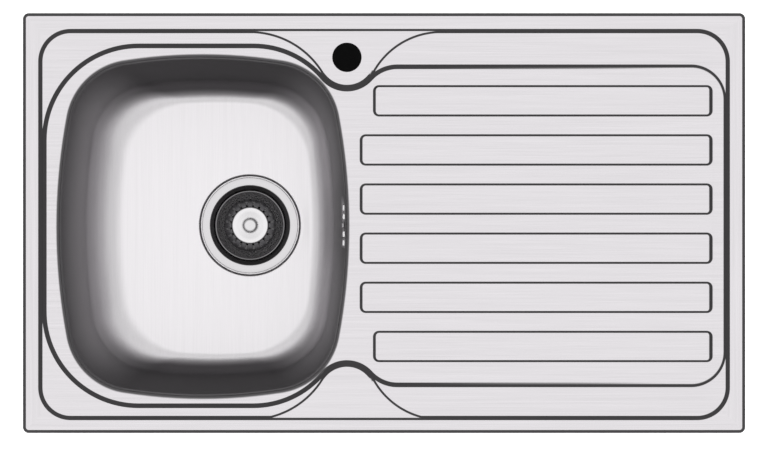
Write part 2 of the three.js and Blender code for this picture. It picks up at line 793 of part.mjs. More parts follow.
function wasteFlange() {
  const outerCup = cupRadius + cupSheet;
  const throat = plugSeatRadius + cupSheet;
  const profile = [
    [flangeRadius, flangeUnderZ], [flangeRadius - flangeEdgeTaper, flangeTopZ],
    [mouthRadius, flangeTopZ], [mouthRadius - mouthLipRun, flangeTopZ - mouthLipDrop],
    [cupRadius, flangeTopZ - mouthDepth],
    [cupRadius, cupFloorZ + cupFootRadius], [cupRadius - cupFootRadius, cupFloorZ],
    [plugSeatRadius + throatChamfer, cupFloorZ], [plugSeatRadius, cupFloorZ - throatChamfer],
    [plugSeatRadius, spiderZ], [throat, spiderZ],
    [throat, cupFloorZ - cupSheet], [cupRadius - cupFootRadius, cupFloorZ - cupSheet],
    [outerCup, cupFloorZ + cupFootRadius], [outerCup, flangeTopZ - mouthDepth],
    [outerCup + cupSheet, flangeUnderZ - cupSheet], [mouthRadius - 2 * cupSheet, flangeUnderZ],
  ];
  const cup = revolve(closedLoop(profile), wasteSegments, wasteX, wasteY);
  const arms = spider(plugSeatRadius + cupSheet / 2, spiderZ, spiderZ + spiderThickness,
    spiderHubRadius, boltRadius + runningGap);
  return toGeometry(cup.add(arms));
}

const gasketRing = (inner, outer, low, high, segments) => onWaste([
  [inner, low], [outer, low], [outer, high], [inner, high],
], segments);

const bodyConeTopZ = cupFloorZ - cupSheet - bodyConeGap;
const bodyConeFootZ = bodyConeTopZ - bodyConeHeight;
const spigotEndZ = bodyConeFootZ - spigotLength;
const bodyHubLow = bodyConeFootZ - bodyHubHeight;

function wasteBody() {
  const outer = bodyBoreRadius + bodyWall;
  const profile = [
    [spigotRadius, spigotEndZ], [spigotRadius, bodyConeFootZ - bodyConeWall],
    [outer, bodyConeTopZ - bodyConeWall], [outer, bodyTopZ - bodyFlangeThickness],
    [bodyFlangeRadius, bodyTopZ - bodyFlangeThickness], [bodyFlangeRadius, bodyTopZ],
    [bodyBoreRadius, bodyTopZ], [bodyBoreRadius, bodyConeTopZ],
    [spigotBore, bodyConeFootZ], [spigotBore, spigotEndZ],
  ];
  const shell = revolve(closedLoop(profile), wasteSegments, wasteX, wasteY);
  const arms = spider(spigotBore + bite, bodyHubLow, bodyConeFootZ, bodyHubRadius, insertRadius + seatGap);
  const inletStart = wasteX + bodyBoreRadius;
  const inletEnd = wasteX + inletReach;
  const inlet = cylinderAlongX(inletRadius, inletStart + bite / 2, inletEnd, wasteY, inletZ, pinSegments);
  const bore = cylinderAlongX(
    inletBore, inletStart - cutPast, inletEnd + cutPast, wasteY, inletZ, pinSegments,
  );
  return toGeometry(shell.add(arms).add(inlet).subtract(bore));
}

function wasteBolt() {
  const seat = spiderZ + spiderThickness + seatGap;
  const low = bodyHubLow + boltEndRise;
  const top = seat + boltHeadHeight;
  const profile = [
    [0, low], [boltRadius, low], [boltRadius, seat],
    [boltHeadRadius, seat], [boltHeadRadius, top - boltHeadChamfer],
    [boltHeadRadius - boltHeadChamfer, top], [0, top],
  ];
  return toGeometry(revolve(profile, nutSegments, wasteX, wasteY));
}

const wasteInsert = () =>
  gasketRing(boltRadius + runningGap, insertRadius, bodyHubLow, bodyConeFootZ, nutSegments);

// ---------------------------------------------------------------- basket

const basketRimZ = flangeTopZ - basketRimDrop;
const basketFloorZ = basketRimZ - basketDepth;
const basketUnderZ = basketFloorZ + basketCapRise - basketSheet;
const stopperLowZ = cupFloorZ + seatGap;
const stopperTopZ = stopperLowZ + stopperThickness;
const stopperWebZ = stopperLowZ + stopperHollowHeight;

function basketCup() {
  const wallTop = basketRimRadius - 2 * basketRoll;
  const capTop = basketCapRadius + basketSheet / 2;
  const profile = [
    [postRadius + runningGap, basketUnderZ], [basketCapRadius - basketCapRise, basketUnderZ],
    [basketCapRadius, basketFloorZ - basketSheet], [basketFloorRadius, basketFloorZ - basketSheet],
    [wallTop + basketSheet, basketRimZ - basketRollDrop], [basketRimRadius, basketRimZ - basketRollDrop],
    [basketRimRadius - basketRoll, basketRimZ], [wallTop, basketRimZ - basketRoll],
    [basketFloorRadius - basketSheet, basketFloorZ],
    [capTop, basketFloorZ], [capTop - basketCapRise, basketFloorZ + basketCapRise],
    [postRadius + runningGap, basketFloorZ + basketCapRise],
  ];
  let cup = revolve(closedLoop(profile), basketSegments);
  const cutters = [];
  for (let slot = 0; slot < slotCount; slot += 1) {
    const turn = (360 * slot) / slotCount;
    const half = slotWidth / 2;
    const low = basketFloorZ - cutPast;
    const high = basketFloorZ + cutPast;
    cutters.push(box([slotInnerRadius, -half, low], [slotOuterRadius, half, high]).rotate([0, 0, turn]));
    for (const [row, share] of wallHoleRows.entries()) {
      const radius = basketFloorRadius + (wallTop - basketFloorRadius) * share;
      const z = basketFloorZ + (basketDepth - basketRoll) * share;
      const hole = cylinderAlongX(wallHoleRadius, radius - cutPast, radius + cutPast, 0, z, 4);
      cutters.push(hole.rotate([0, 0, turn + (row % 2 ? 180 / slotCount : 0)]));
    }
  }
  for (const cutter of cutters) {
    cup = cup.subtract(cutter);
  }
  return toGeometry(cup.translate([wasteX, wasteY, 0]));
}

// Post through the basket: a stem with a shoulder under the basket, the plug's groove and
// a foot for the clip.
function basketPost() {
  const shoulderLow = stopperTopZ + seatGap;
  const shoulderHigh = basketUnderZ - seatGap;
  const foot = stopperWebZ - 2 * seatGap - clipThickness - postFootLength;
  const head = basketFloorZ + basketCapRise + seatGap + knobHeight - knobCapThickness;
  const profile = [
    [0, foot], [postRadius, foot], [postRadius, shoulderLow],
    [postShoulderRadius, shoulderLow], [postShoulderRadius, shoulderHigh],
    [postRadius, shoulderHigh], [postRadius, head], [0, head],
  ];
  return toGeometry(revolve(profile, nutSegments, wasteX, wasteY));
}

function basketKnob() {
  const low = basketFloorZ + basketCapRise + seatGap;
  const top = low + knobHeight;
  const bore = postRadius + runningGap;
  const ceiling = top - knobCapThickness + seatGap;
  const profile = [
    [0, ceiling], [bore, ceiling], [bore, low], [knobFootRadius, low],
    [knobNeckRadius, low + knobNeckHeight], [knobRadius - knobBevel, top - knobCapHeight],
    [knobRadius, top - knobEdgeDrop], [knobRadius - knobBevel, top - knobBevel],
    [knobCrownRadius, top], [0, top],
  ];
  return toGeometry(revolve(profile, pinSegments, wasteX, wasteY));
}

function basketStopper() {
  const bore = postRadius + runningGap;
  return onWaste([
    [stopperHollowRadius, stopperLowZ], [stopperRadius - stopperChamfer, stopperLowZ],
    [stopperRadius, stopperLowZ + stopperChamfer], [stopperTopRadius, stopperTopZ],
    [bore, stopperTopZ], [bore, stopperWebZ], [stopperHollowRadius, stopperWebZ],
  ], wasteSegments);
}

const postClip = () => gasketRing(postRadius + runningGap, clipRadius,
  stopperWebZ - seatGap - clipThickness, stopperWebZ - seatGap, nutSegments);

// ---------------------------------------------------------------- overflow

const wallOutsideX = (z) => overflowX + sheet / Math.cos(overflowTilt) + (z - overflowZ) * wallLeanRight;
const headFrontX = (z) => wallOutsideX(z) + overflowGasketThickness + 2 * seatGap;
const headBackX = headFrontX(overflowZ) + overflowBoxDepth;
const headLowZ = overflowZ - overflowBoxHeight / 2;
const pipeX = headBackX - overflowBoxDepth / 2;
const spigotFootZ = headLowZ - headSpigotLength;

// A slab that follows the bowl's leaning wall, out from the face that frontX gives.
function leaningSlab(frontX, depth, lowZ, highZ, halfWidth) {
  const outline = [
    [frontX(lowZ), lowZ], [frontX(lowZ) + depth, lowZ],
    [frontX(highZ) + depth, highZ], [frontX(highZ), highZ],
  ];
  return prismAlongY(outline, wasteY - halfWidth, wasteY + halfWidth);
}

function overflowHead() {
  const highZ = overflowZ + overflowBoxHeight / 2;
  const half = overflowBoxWidth / 2;
  const shell = prismAlongY([
    [headFrontX(headLowZ), headLowZ], [headBackX, headLowZ], [headBackX, highZ - overflowChamfer],
    [headBackX - overflowChamfer, highZ], [headFrontX(highZ), highZ],
  ], wasteY - half, wasteY + half);
  const low = headLowZ + overflowWall;
  const high = highZ - overflowWall;
  const hollow = prismAlongY([
    [headFrontX(low) - cutPast, low], [headBackX - overflowWall, low],
    [headBackX - overflowWall, high], [headFrontX(high) - cutPast, high],
  ], wasteY - half + overflowWall, wasteY + half - overflowWall);
  const spigot = cylinder(inletRadius, spigotFootZ, headLowZ + bite, pipeX, wasteY, pinSegments);
  const bore = cylinder(inletBore, spigotFootZ - cutPast, low + bite, pipeX, wasteY, pinSegments);
  const bossFront = sheet + overflowGasketThickness + 2 * seatGap;
  const bossEnd = bossFront + overflowBoxDepth - bite;
  const boss = onOverflowWall(cylinderAlongX(overflowBossRadius, bossFront, bossEnd, 0, 0, nutSegments));
  const bossBore = onOverflowWall(cylinderAlongX(
    overflowScrewRadius + runningGap, 0, overflowScrewLength + bite, 0, 0, nutSegments,
  ));
  return toGeometry(shell.subtract(hollow).add(boss).add(spigot).subtract(bore).subtract(bossBore));
}

function overflowGasket() {
  const front = (z) => wallOutsideX(z) + seatGap;
  const high = overflowBoxHeight / 2 - overflowGasketInset;
  const opening = overflowBoxHeight / 2 - overflowWall;
  const half = overflowBoxWidth / 2;
  const ring = leaningSlab(front, overflowGasketThickness, overflowZ - high, overflowZ + high, half);
  const window = leaningSlab((z) => front(z) - bite, overflowGasketThickness + 2 * bite,
    overflowZ - opening, overflowZ + opening, half - overflowWall);
  return toGeometry(ring.subtract(window));
}

function overflowScrew() {
  const face = -seatGap - overflowHeadHeight;
  const head = cylinderAlongX(overflowHeadRadius, face, -seatGap, 0, 0, pinSegments);
  const shank = cylinderAlongX(
    overflowScrewRadius, face + overflowHeadHeight / 2, overflowScrewLength, 0, 0, nutSegments,
  );
  const half = overflowScrewSlotWidth / 2;
  const slot = box([face - cutPast, -overflowHeadRadius, -half],
    [face + overflowScrewSlotDepth, overflowHeadRadius, half]);
  return toGeometry(onOverflowWall(head.add(shank).subtract(slot)));
}

// Moulded pipe in the plane y = wasteY: down from the overflow, round one bend, and in to
// the waste's inlet.
function overflowPipe() {
  const stations = [];
  const inletEnd = wasteX + inletReach + seatGap;
  const bendX = pipeX - pipeBend;
  const bendZ = inletZ + pipeBend;
  stations.push({ x: pipeX, z: spigotFootZ - seatGap, angle: 0 });
  for (let step = 0; step <= pipeBendSteps; step += 1) {
    const angle = (quarter * step) / pipeBendSteps;
    stations.push({ x: bendX + pipeBend * Math.cos(angle), z: bendZ - pipeBend * Math.sin(angle), angle });
  }
  stations.push({ x: inletEnd, z: inletZ, angle: quarter });
  const ring = ({ x, z, angle }, radius) => {
    const points = [];
    for (let step = 0; step < pipeSides; step += 1) {
      const turn = (2 * Math.PI * step) / pipeSides;
      const out = radius * Math.cos(turn);
      points.push([
        x + out * Math.cos(angle), wasteY - radius * Math.sin(turn), z - out * Math.sin(angle),
      ]);
    }
    return points;
  };
  const outer = stations.map((station) => ring(station, pipeRadius));
  const inner = stations.map((station) => ring(station, pipeRadius - pipeWall)).reverse();
  return ringLoft([...outer, ...inner]);
}

// Compression nut and its seal, drawn on the axis Z with the spigot's end face at z = 0 and
// the pipe leaving upwards.
function pipeNut() {
  const grip = clearBore(inletRadius, nutSegments);
  const shoulder = sealThickness + 2 * seatGap;
  const pipeBore = clearBore(pipeRadius, nutSegments);
  return toGeometry(revolve(closedLoop([
    [grip, -nutGripLength], [nutRadius, -nutGripLength],
    [nutRadius, shoulder + nutWall - nutChamfer],
    [nutRadius - nutChamfer, shoulder + nutWall], [pipeBore, shoulder + nutWall],
    [pipeBore, shoulder], [grip, shoulder],
  ]), nutSegments));
}

function pipeSeal() {
  const bore = clearBore(pipeRadius, nutSegments);
  return toGeometry(revolve(closedLoop([
    [bore, seatGap], [inletRadius, seatGap],
    [inletRadius, seatGap + sealThickness], [bore, seatGap + sealThickness],
  ]), nutSegments));
}

// ---------------------------------------------------------------- fixing clips

// Each clip is drawn with its screw on the axis Z, the sheet's underside at z = 0, +X
// towards the worktop's edge and +Y along the sink's side.

function prismAlongX(outline, lowX, highX) {
  const shape = new THREE.Shape(outline.map(([y, z]) => new THREE.Vector2(y, z)));
  const geometry = new THREE.ExtrudeGeometry(shape, { depth: highX - lowX, bevelEnabled: false });
  geometry.rotateX(quarter);
  geometry.rotateZ(quarter);
  geometry.translate(lowX, 0, 0);
  return toSolid(geometry);
}

const bossLowZ = -bossTopDrop - bossHeight;
const clipBore = clearBore(clipScrewRadius, clipSegments);
const clawLowZ = -clawDrop;
const washerTopZ = clawLowZ - seatGap;
const clipHeadTopZ = washerTopZ - washerThickness - seatGap;

function clipBracket() {
  const leg = -strapLegOffset;
  const back = leg - strapThickness;
  const top = -seatGap;
  const shelf = -bossTopDrop - bossHeight / 2;
  const strap = prismAlongX([
    [back, top], [back, shelf - strapThickness], [bossRadius, shelf - strapThickness],
    [bossRadius, shelf], [leg, shelf], [leg, top - strapThickness],
    [strapToeReach, top - strapThickness], [strapToeReach, top],
  ], -strapWidth / 2, strapWidth / 2);
  const boss = cylinder(bossRadius, bossLowZ, -bossTopDrop, 0, 0, clipSegments);
  const bore = cylinder(clipBore, bossLowZ - cutPast, -bossTopDrop + cutPast, 0, 0, clipSegments);
  return toGeometry(strap.add(boss).subtract(bore));
}

function clipScrew() {
  const low = clipHeadTopZ - clipScrewHeadHeight;
  const tip = -bossTopDrop + clipScrewTipRise;
  const screw = revolve([
    [0, low], [clipScrewHeadRadius - clipScrewChamfer, low],
    [clipScrewHeadRadius, low + clipScrewChamfer],
    [clipScrewHeadRadius, clipHeadTopZ], [clipScrewRadius, clipHeadTopZ],
    [clipScrewRadius, tip], [0, tip],
  ], clipScrewSegments);
  const half = driverSlotWidth / 2;
  const slot = box([-clipScrewHeadRadius, -half, low - cutPast],
    [clipScrewHeadRadius, half, low + driverSlotDepth]);
  return toGeometry(screw.subtract(slot));
}

function clipWasher() {
  const low = clipHeadTopZ + seatGap;
  return toGeometry(revolve(closedLoop([
    [clipBore, low], [washerRadius, low],
    [washerRadius, low + washerThickness], [clipBore, low + washerThickness],
  ]), clipSegments));
}

function clipClaw() {
  const half = clawTipWidth / 2;
  const root = Math.acos(half / clawHubRadius) * clawRootShare;
  const shape = new THREE.Shape();
  shape.moveTo(half, clawReach);
  shape.lineTo(-half, clawReach);
  shape.absarc(0, 0, clawHubRadius, Math.PI - root, 2 * Math.PI + root, false);
  const bore = new THREE.Path();
  bore.absarc(0, 0, clipBore, 0, 2 * Math.PI, true);
  shape.holes.push(bore);
  const plate = new THREE.ExtrudeGeometry(shape, {
    depth: clawThickness, bevelEnabled: false, curveSegments: clipSegments,
  });
  plate.translate(0, 0, clawLowZ);
  const tooth = box([-half, clawReach - clawToothLength, clawLowZ + clawThickness / 2],
    [half, clawReach, clawLowZ + clawThickness + clawToothHeight]);
  return toGeometry(toSolid(plate).add(tooth));
}

// ---------------------------------------------------------------- assembly

const sink = new THREE.Group();

function place(name, geometry, material, parent = sink) {
  const mesh = new THREE.Mesh(geometry, material);
  mesh.name = name;
  parent.add(mesh);
  return mesh;
}

place('deck', deck(), steel());
place('bowl', bowl(), steel());
place('rim_seal', rimSeal(), greyFoam());
place('sound_pad', soundPad(), greyFoam());

place('waste_flange', wasteFlange(), steel());
place('flange_gasket', gasketRing(mouthRadius + flangeGasketInset, flangeRadius - flangeGasketInset,
  recessZ + seatGap, recessZ + seatGap + flangeGasketThickness, wasteSegments), blackRubber());
place('body_gasket', gasketRing(bodyBoreRadius, bodyFlangeRadius - bodyGasketInset,
  bodyTopZ + seatGap, bowlUnderZ - seatGap, wasteSegments), blackRubber());
place('waste_body', wasteBody(), whitePlastic());
place('waste_bolt', wasteBolt(), steel());
place('waste_insert', wasteInsert(), brass());

place('basket_cup', basketCup(), steel());
place('basket_post', basketPost(), steel());
place('basket_knob', basketKnob(), steel());
place('basket_stopper', basketStopper(), blackRubber());
place('post_clip', postClip(), steel());

place('overflow_head', overflowHead(), whitePlastic());
place('overflow_gasket', overflowGasket(), blackRubber());
place('overflow_screw', overflowScrew(), steel());
place('overflow_pipe', overflowPipe(), whitePlastic());

const upperJoint = new THREE.Group();
upperJoint.position.set(pipeX, wasteY, spigotFootZ);
upperJoint.rotation.x = Math.PI;
const lowerJoint = new THREE.Group();
lowerJoint.position.set(wasteX + inletReach, wasteY, inletZ);
lowerJoint.rotation.y = quarter;
sink.add(upperJoint, lowerJoint);
place('overflow_nut_top', pipeNut(), whitePlastic(), upperJoint);
place('overflow_seal_top', pipeSeal(), blackRubber(), upperJoint);
place('overflow_nut_side', pipeNut(), whitePlastic(), lowerJoint);
place('overflow_seal_side', pipeSeal(), blackRubber(), lowerJoint);

// Clips stand under the flat strips between the rim's wall and the basin's.
const panelFoot = (inside) => inside - Math.sign(inside) * rimWallRun;
const stripMiddle = (side, inside) => (panelFoot(inside) + basinAxisY + side * bowlSideHalfWidth) / 2;
const backClipY = stripMiddle(1, rimInside.back);
const frontClipY = stripMiddle(-1, rimInside.front);
const basinFootRun = (panelTop - basinTop) * wallRun;
const leftClipX = (panelFoot(rimInside.left) + basinFootRun + leftEnd + bowlMargin - bowlEdgeRadius) / 2;
const rightClipX = (ribEndX + panelFoot(rimInside.right) - basinFootRun + boardRise * wallRun) / 2;
const longSideClipX = [leftEnd + clipFromLeft, ...clipsFromRight.map((reach) => rightEnd - reach)];
const clipSeats = [
  ...longSideClipX.map((x) => ({ x, y: backClipY, z: panelTop - sheet, turn: quarter })),
  ...longSideClipX.map((x) => ({ x, y: frontClipY, z: panelTop - sheet, turn: -quarter })),
  { x: leftClipX, y: bowlY, z: basinTop - sheet, turn: Math.PI },
  { x: rightClipX, y: basinAxisY, z: boardTop(rightClipX) - sheet, turn: 0 },
];
clipSeats.forEach((seat, index) => {
  const clip = new THREE.Group();
  clip.position.set(seat.x, seat.y, seat.z);
  clip.rotation.z = seat.turn;
  sink.add(clip);
  const name = `clip_${index + 1}`;
  place(`${name}_bracket`, clipBracket(), zinc(), clip);
  place(`${name}_screw`, clipScrew(), zinc(), clip);
  place(`${name}_washer`, clipWasher(), zinc(), clip);
  place(`${name}_claw`, clipClaw(), zinc(), clip);
});

export default sink;
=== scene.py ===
"""Inset stainless kitchen sink with a ribbed drainboard, seen straight from above.

The pieces are drawn in millimetres and scaled by MM. The studio and the materials use metres.
"""

import json

import bmesh
import bpy
import numpy as np
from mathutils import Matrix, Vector
from mathutils.geometry import delaunay_2d_cdt


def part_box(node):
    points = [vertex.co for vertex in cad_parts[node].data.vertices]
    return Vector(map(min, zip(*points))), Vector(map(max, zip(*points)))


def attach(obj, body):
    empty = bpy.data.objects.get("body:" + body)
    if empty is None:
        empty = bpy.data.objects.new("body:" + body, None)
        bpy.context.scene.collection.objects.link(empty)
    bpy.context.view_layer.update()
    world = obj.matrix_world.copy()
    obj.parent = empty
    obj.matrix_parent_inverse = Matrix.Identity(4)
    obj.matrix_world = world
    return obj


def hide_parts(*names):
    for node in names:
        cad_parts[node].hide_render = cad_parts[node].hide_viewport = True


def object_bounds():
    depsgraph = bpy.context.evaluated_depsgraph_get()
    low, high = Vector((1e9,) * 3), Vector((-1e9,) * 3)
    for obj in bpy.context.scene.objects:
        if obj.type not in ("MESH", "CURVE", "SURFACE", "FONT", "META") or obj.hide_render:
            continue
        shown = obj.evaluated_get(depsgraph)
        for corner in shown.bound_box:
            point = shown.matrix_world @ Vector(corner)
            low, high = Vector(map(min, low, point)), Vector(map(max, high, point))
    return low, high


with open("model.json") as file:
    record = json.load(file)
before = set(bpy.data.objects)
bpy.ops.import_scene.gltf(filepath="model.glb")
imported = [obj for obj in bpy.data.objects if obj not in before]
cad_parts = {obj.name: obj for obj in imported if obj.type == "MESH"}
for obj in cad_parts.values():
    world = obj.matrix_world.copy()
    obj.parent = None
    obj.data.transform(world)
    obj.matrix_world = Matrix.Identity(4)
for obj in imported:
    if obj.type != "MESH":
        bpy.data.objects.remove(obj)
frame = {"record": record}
cad_box = [list(corner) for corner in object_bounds()]

# ---------------------------------------------------------------- studio
# A pale floor under the sink, with a painted shadow beneath it and a black spot painted below
# the tap hole, a soft glow overhead that dims part of the way down the sky, and a long lens that
# looks straight down, so the outline is seen almost square on.
camera_height = 25.4
camera_lens, camera_sensor = 1000.0, 36.0
camera_x, camera_y = -0.00006, -0.00232
camera_reach = 100.0
floor_size, floor_gap = 60.0, 0.0002

camera = bpy.data.objects.new("camera", bpy.data.cameras.new("camera"))
camera.data.lens = camera_lens
camera.data.sensor_width = camera_sensor
camera.data.clip_end = camera_reach
camera.location = (camera_x, camera_y, camera_height)
bpy.context.scene.collection.objects.link(camera)
bpy.context.scene.camera = camera
bpy.context.scene.view_settings.view_transform = "Standard"


class Wire:
    """A socket of a node tree. Arithmetic on it adds Math nodes, and node() adds any other node."""

    def __init__(self, tree, socket=None):
        self.tree = tree
        self.socket = socket

    def node(self, kind, inputs=(), output=0, stops=(), **settings):
        """Adds a node: its settings and ramp stops come first, then a value or a wire for each input."""
        made = self.tree.nodes.new(kind)
        for name, value in settings.items():
            setattr(made, name, value)
        if stops:
            elements = made.color_ramp.elements
            elements.remove(elements[1])
            elements[0].position, elements[0].color = stops[0]
            for position, tone in stops[1:]:
                elements.new(position).color = tone
        for name, value in dict(inputs).items():
            if isinstance(value, Wire):
                self.tree.links.new(value.socket, made.inputs[name])
            else:
                made.inputs[name].default_value = value
        return Wire(self.tree, made.outputs[output] if len(made.outputs) else None)

    def maths(self, operation, *values):
        """A Math node on values or wires."""
        return self.node("ShaderNodeMath", enumerate(values), operation=operation)

    def __add__(self, other):
        return self.maths("ADD", self, other)

    __radd__ = __add__

    def __sub__(self, other):
        return self.maths("SUBTRACT", self, other)

    def __rsub__(self, other):
        return self.maths("SUBTRACT", other, self)

    def __mul__(self, other):
        return self.maths("MULTIPLY", self, other)

    __rmul__ = __mul__

    def __truediv__(self, other):
        return self.maths("DIVIDE", self, other)

    def clamp(self):
        """This wire, held between 0 and 1."""
        return self.maths("MINIMUM", self.maths("MAXIMUM", self, 0.0), 1.0)

    def root(self):
        """This wire's square root."""
        return self.maths("SQRT", self)

    def step(self, low, high):
        """0 below low and 1 above high, with a smooth rise between."""
        return self.node("ShaderNodeMapRange", {0: self, 1: low, 2: high}, interpolation_type="SMOOTHSTEP")

    def mix(self, first, second):
        """The first colour where this wire is 0 and the second where it is 1."""
        inputs = {0: self, 6: first, 7: second}
        return self.node("ShaderNodeMix", inputs, output=2, data_type="RGBA")

    def parts(self):
        """The three numbers of a vector, as wires."""
        made = self.tree.nodes.new("ShaderNodeSeparateXYZ")
        self.tree.links.new(self.socket, made.inputs[0])
        return [Wire(self.tree, socket) for socket in made.outputs]

    def noise(self, scale, detail=2.0, roughness=0.5, stretch=(1.0, 1.0, 1.0)):
        """Noise, from 0 to 1, in this wire's space, drawn out along the axes whose stretch is small."""
        spread = self.node("ShaderNodeMapping", {0: self, 3: stretch})
        inputs = {"Vector": spread, "Scale": scale, "Detail": detail, "Roughness": roughness}
        return self.node("ShaderNodeTexNoise", inputs)

    def bump(self, strength, depth):
        """Relief that is this wire times a depth in metres."""
        return self.node("ShaderNodeBump", {"Strength": strength, "Distance": depth, "Height": self})

    def place(self):
        """Where on the object a point is, in metres."""
        return self.node("ShaderNodeTexCoord", output="Object")


def colour(red, green, blue):
    """A linear colour with full opacity."""
    return (red, green, blue, 1.0)


glow_zenith = 1.42
# pairs of an angle from the zenith, in degrees, and the glow there as a share of the zenith's
glow_fall = [(90, 0.94), (80, 0.90), (72, 0.83), (60, 0.67), (45, 0.48), (32, 0.52), (26, 0.63),
             (20, 0.77), (15, 0.92), (11, 1.05), (5, 1.0)]
glow_narrowing = 1.45  # the glow falls off faster front to back
floor_grey, floor_glow = 0.86, 0.8
shade_light = 0.22  # what the shade under the sink leaves of the floor's light
shade_low, shade_high = 0.25, 1.05
# the centre of a black spot painted on the floor below the tap hole, as shade
shade_spot = (-0.0442, 0.1973)  # below the tap hole
spot_dark, spot_edge = 0.0195, 0.034

world = bpy.data.worlds.new("studio")
bpy.context.scene.world = world
world.use_nodes = True
world.node_tree.nodes.clear()
sky = Wire(world.node_tree)
east, north, upward = sky.node("ShaderNodeTexCoord", output="Generated").parts()
reach = east * east + north * north * glow_narrowing**2 + upward * upward
height = upward / reach.root()
ramp = height.node("ShaderNodeValToRGB", {0: height.clamp()},
                   stops=[(np.cos(np.radians(angle)), colour(share, share, share))
                          for angle, share in glow_fall])
glow = sky.node("ShaderNodeBackground", {"Color": ramp, "Strength": glow_zenith})
plain = sky.node("ShaderNodeBackground", {"Color": colour(1.0, 1.0, 1.0), "Strength": 1.0})
seen = sky.node("ShaderNodeLightPath", output="Is Camera Ray")
backdrop = sky.node("ShaderNodeMixShader", {0: seen, 1: glow, 2: plain})
sky.node("ShaderNodeOutputWorld", {"Surface": backdrop})


def shade(name, inputs):
    """A material whose Principled shader takes the inputs that a function of a bare wire gives."""
    made = bpy.data.materials.new(name)
    made.use_nodes = True
    made.node_tree.nodes.clear()
    start = Wire(made.node_tree)
    surface = start.node("ShaderNodeBsdfPrincipled", inputs(start))
    start.node("ShaderNodeOutputMaterial", {"Surface": surface})
    return made


def studio_floor(w):
    """Pale and faintly lit from below. A soft shadow painted under the sink follows (x / a)^4 + (y / b)^4,
    with the sink's half sizes a and b, and a round spot below the tap hole is painted black, as shade."""
    x, y, _ = w.place().parts()
    along, across = x / cad_box[1][0], y / cad_box[1][1]
    out = along * along * along * along + across * across * across * across
    from_hole_x, from_hole_y = x - shade_spot[0], y - shade_spot[1]
    off = from_hole_x * from_hole_x + from_hole_y * from_hole_y
    spot = off.root().step(spot_dark, spot_edge)
    open_floor = spot * (out.step(shade_low, shade_high) * (1.0 - shade_light) + shade_light)
    return {
        "Base Color": open_floor.mix(colour(0.004, 0.004, 0.004), colour(floor_grey, floor_grey, floor_grey)),
        "Emission Color": open_floor.mix(colour(0, 0, 0), colour(floor_glow, floor_glow, floor_glow)),
        "Emission Strength": 1.0,
        "Roughness": 0.9,
        "Specular IOR Level": 0.1,
    }


def new_object(name, mesh, material):
    """A mesh object at the origin that wears a material."""
    made = bpy.data.objects.new(name, mesh)
    mesh.materials.append(material)
    bpy.context.scene.collection.objects.link(made)
    return made


half = floor_size / 2
floor_z = cad_box[0][2] - floor_gap
floor_mesh = bpy.data.meshes.new("studio_floor")
floor_mesh.from_pydata([(-half, -half, floor_z), (half, -half, floor_z),
                        (half, half, floor_z), (-half, half, floor_z)], [], [(0, 1, 2, 3)])
new_object("studio_floor", floor_mesh, shade("studio_floor", studio_floor))

# ---------------------------------------------------------------- deck
# The sink's top: 0.8 mm stainless sheet, pressed in one blow to the rim, the tap ledge, the
# sunk basin and the ribbed, sloping drainboard, then folded down round the outside and
# rolled into the bowl's mouth. It is brushed along its length, and across it at the ends.
MM = 0.001
deck_low, deck_high = [np.array(corner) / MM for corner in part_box("deck")]
sheet = 0.8
rim_top = deck_high[2]
rim_end_width, rim_back_width, rim_front_width = 18.4, 19.0, 15.5
edge_run, edge_drop = 3.6, 2.7
outer_corner, rim_corner = 7.0, 38.7
lip_gap = 0.3
ledge_drop, panel_drop, basin_drop = 2.2, 4.2, 8.8
wall_run = 1.15
basin_axis = -3.3
bowl_side_half, board_side_half = 216.9, 192.0
bowl_side_corner, board_side_corner = 115.0, 41.6
basin_merge = 0.45
board_rise, board_start_gap = 3.0, 11.5
bowl_margin, bowl_offset = 44.1, -0.9
bowl_length, bowl_width = 340.4, 401.8
roll_radius, seam_depth = 5.4, 9.7
side_crown, end_crown, bowl_corner = 710.0, 600.0, 78.0
bowl_depth, foot_height = 151.3, 35.3
lean = {"left": 30.0, "right": 14.0, "back": 26.0, "front": 23.5}  # from the wall's top to its foot
tap_hole_radius, tap_hole_offset, tap_hole_margin = 17.5, 1.3, 52.7
nose_radius, nose_blend_bowl, nose_blend_board = 35.2, 111.0, 46.0
flank_bowl_reach, flank_bowl_radius = 115.3, 102.3
flank_board_reach, flank_board_radius = 112.0, 92.8
flank_limit, flank_fade, far_below = 40.0, 25.0, -99.0
rib_count, rib_pitch, rib_width, rib_height, rib_run, rib_corner = 6, 58.5, 37.1, 2.0, 1.1, 7.0
rib_end_runs = (0.45, 0.9)  # how much gentler a rib's left and right ends are than its sides
inner_rib_start, outer_rib_start, rib_end_margin, rib_offset = 5.1, 20.9, 38.7, 2.6
board_run = 1.6  # how much gentler the basin's wall is at the board's end
fillet, board_fillet = 0.26, 0.05

ledge_top, panel_top, basin_top = rim_top - ledge_drop, rim_top - panel_drop, rim_top - basin_drop
left_end, right_end = deck_low[0], deck_high[0]
front_edge, back_edge = deck_low[1], deck_high[1]
rim_wall = (rim_top - panel_top) * wall_run
rim_left, rim_right = left_end + rim_end_width, right_end - rim_end_width
rim_front, rim_back = front_edge + rim_front_width, back_edge - rim_back_width
bowl_x = left_end + bowl_margin + bowl_length / 2
bowl_y = basin_axis + bowl_offset
bowl_right = bowl_x + bowl_length / 2
tap_x, tap_y = bowl_right + tap_hole_offset, back_edge - tap_hole_margin
board_start = bowl_right + board_start_gap
board_end = rim_right - rim_wall
board_slope = board_rise / (board_end - board_start)
wall_top = basin_top - roll_radius
foot_top = basin_top - bowl_depth + foot_height
seam_z = basin_top - seam_depth
quarter = np.pi / 2


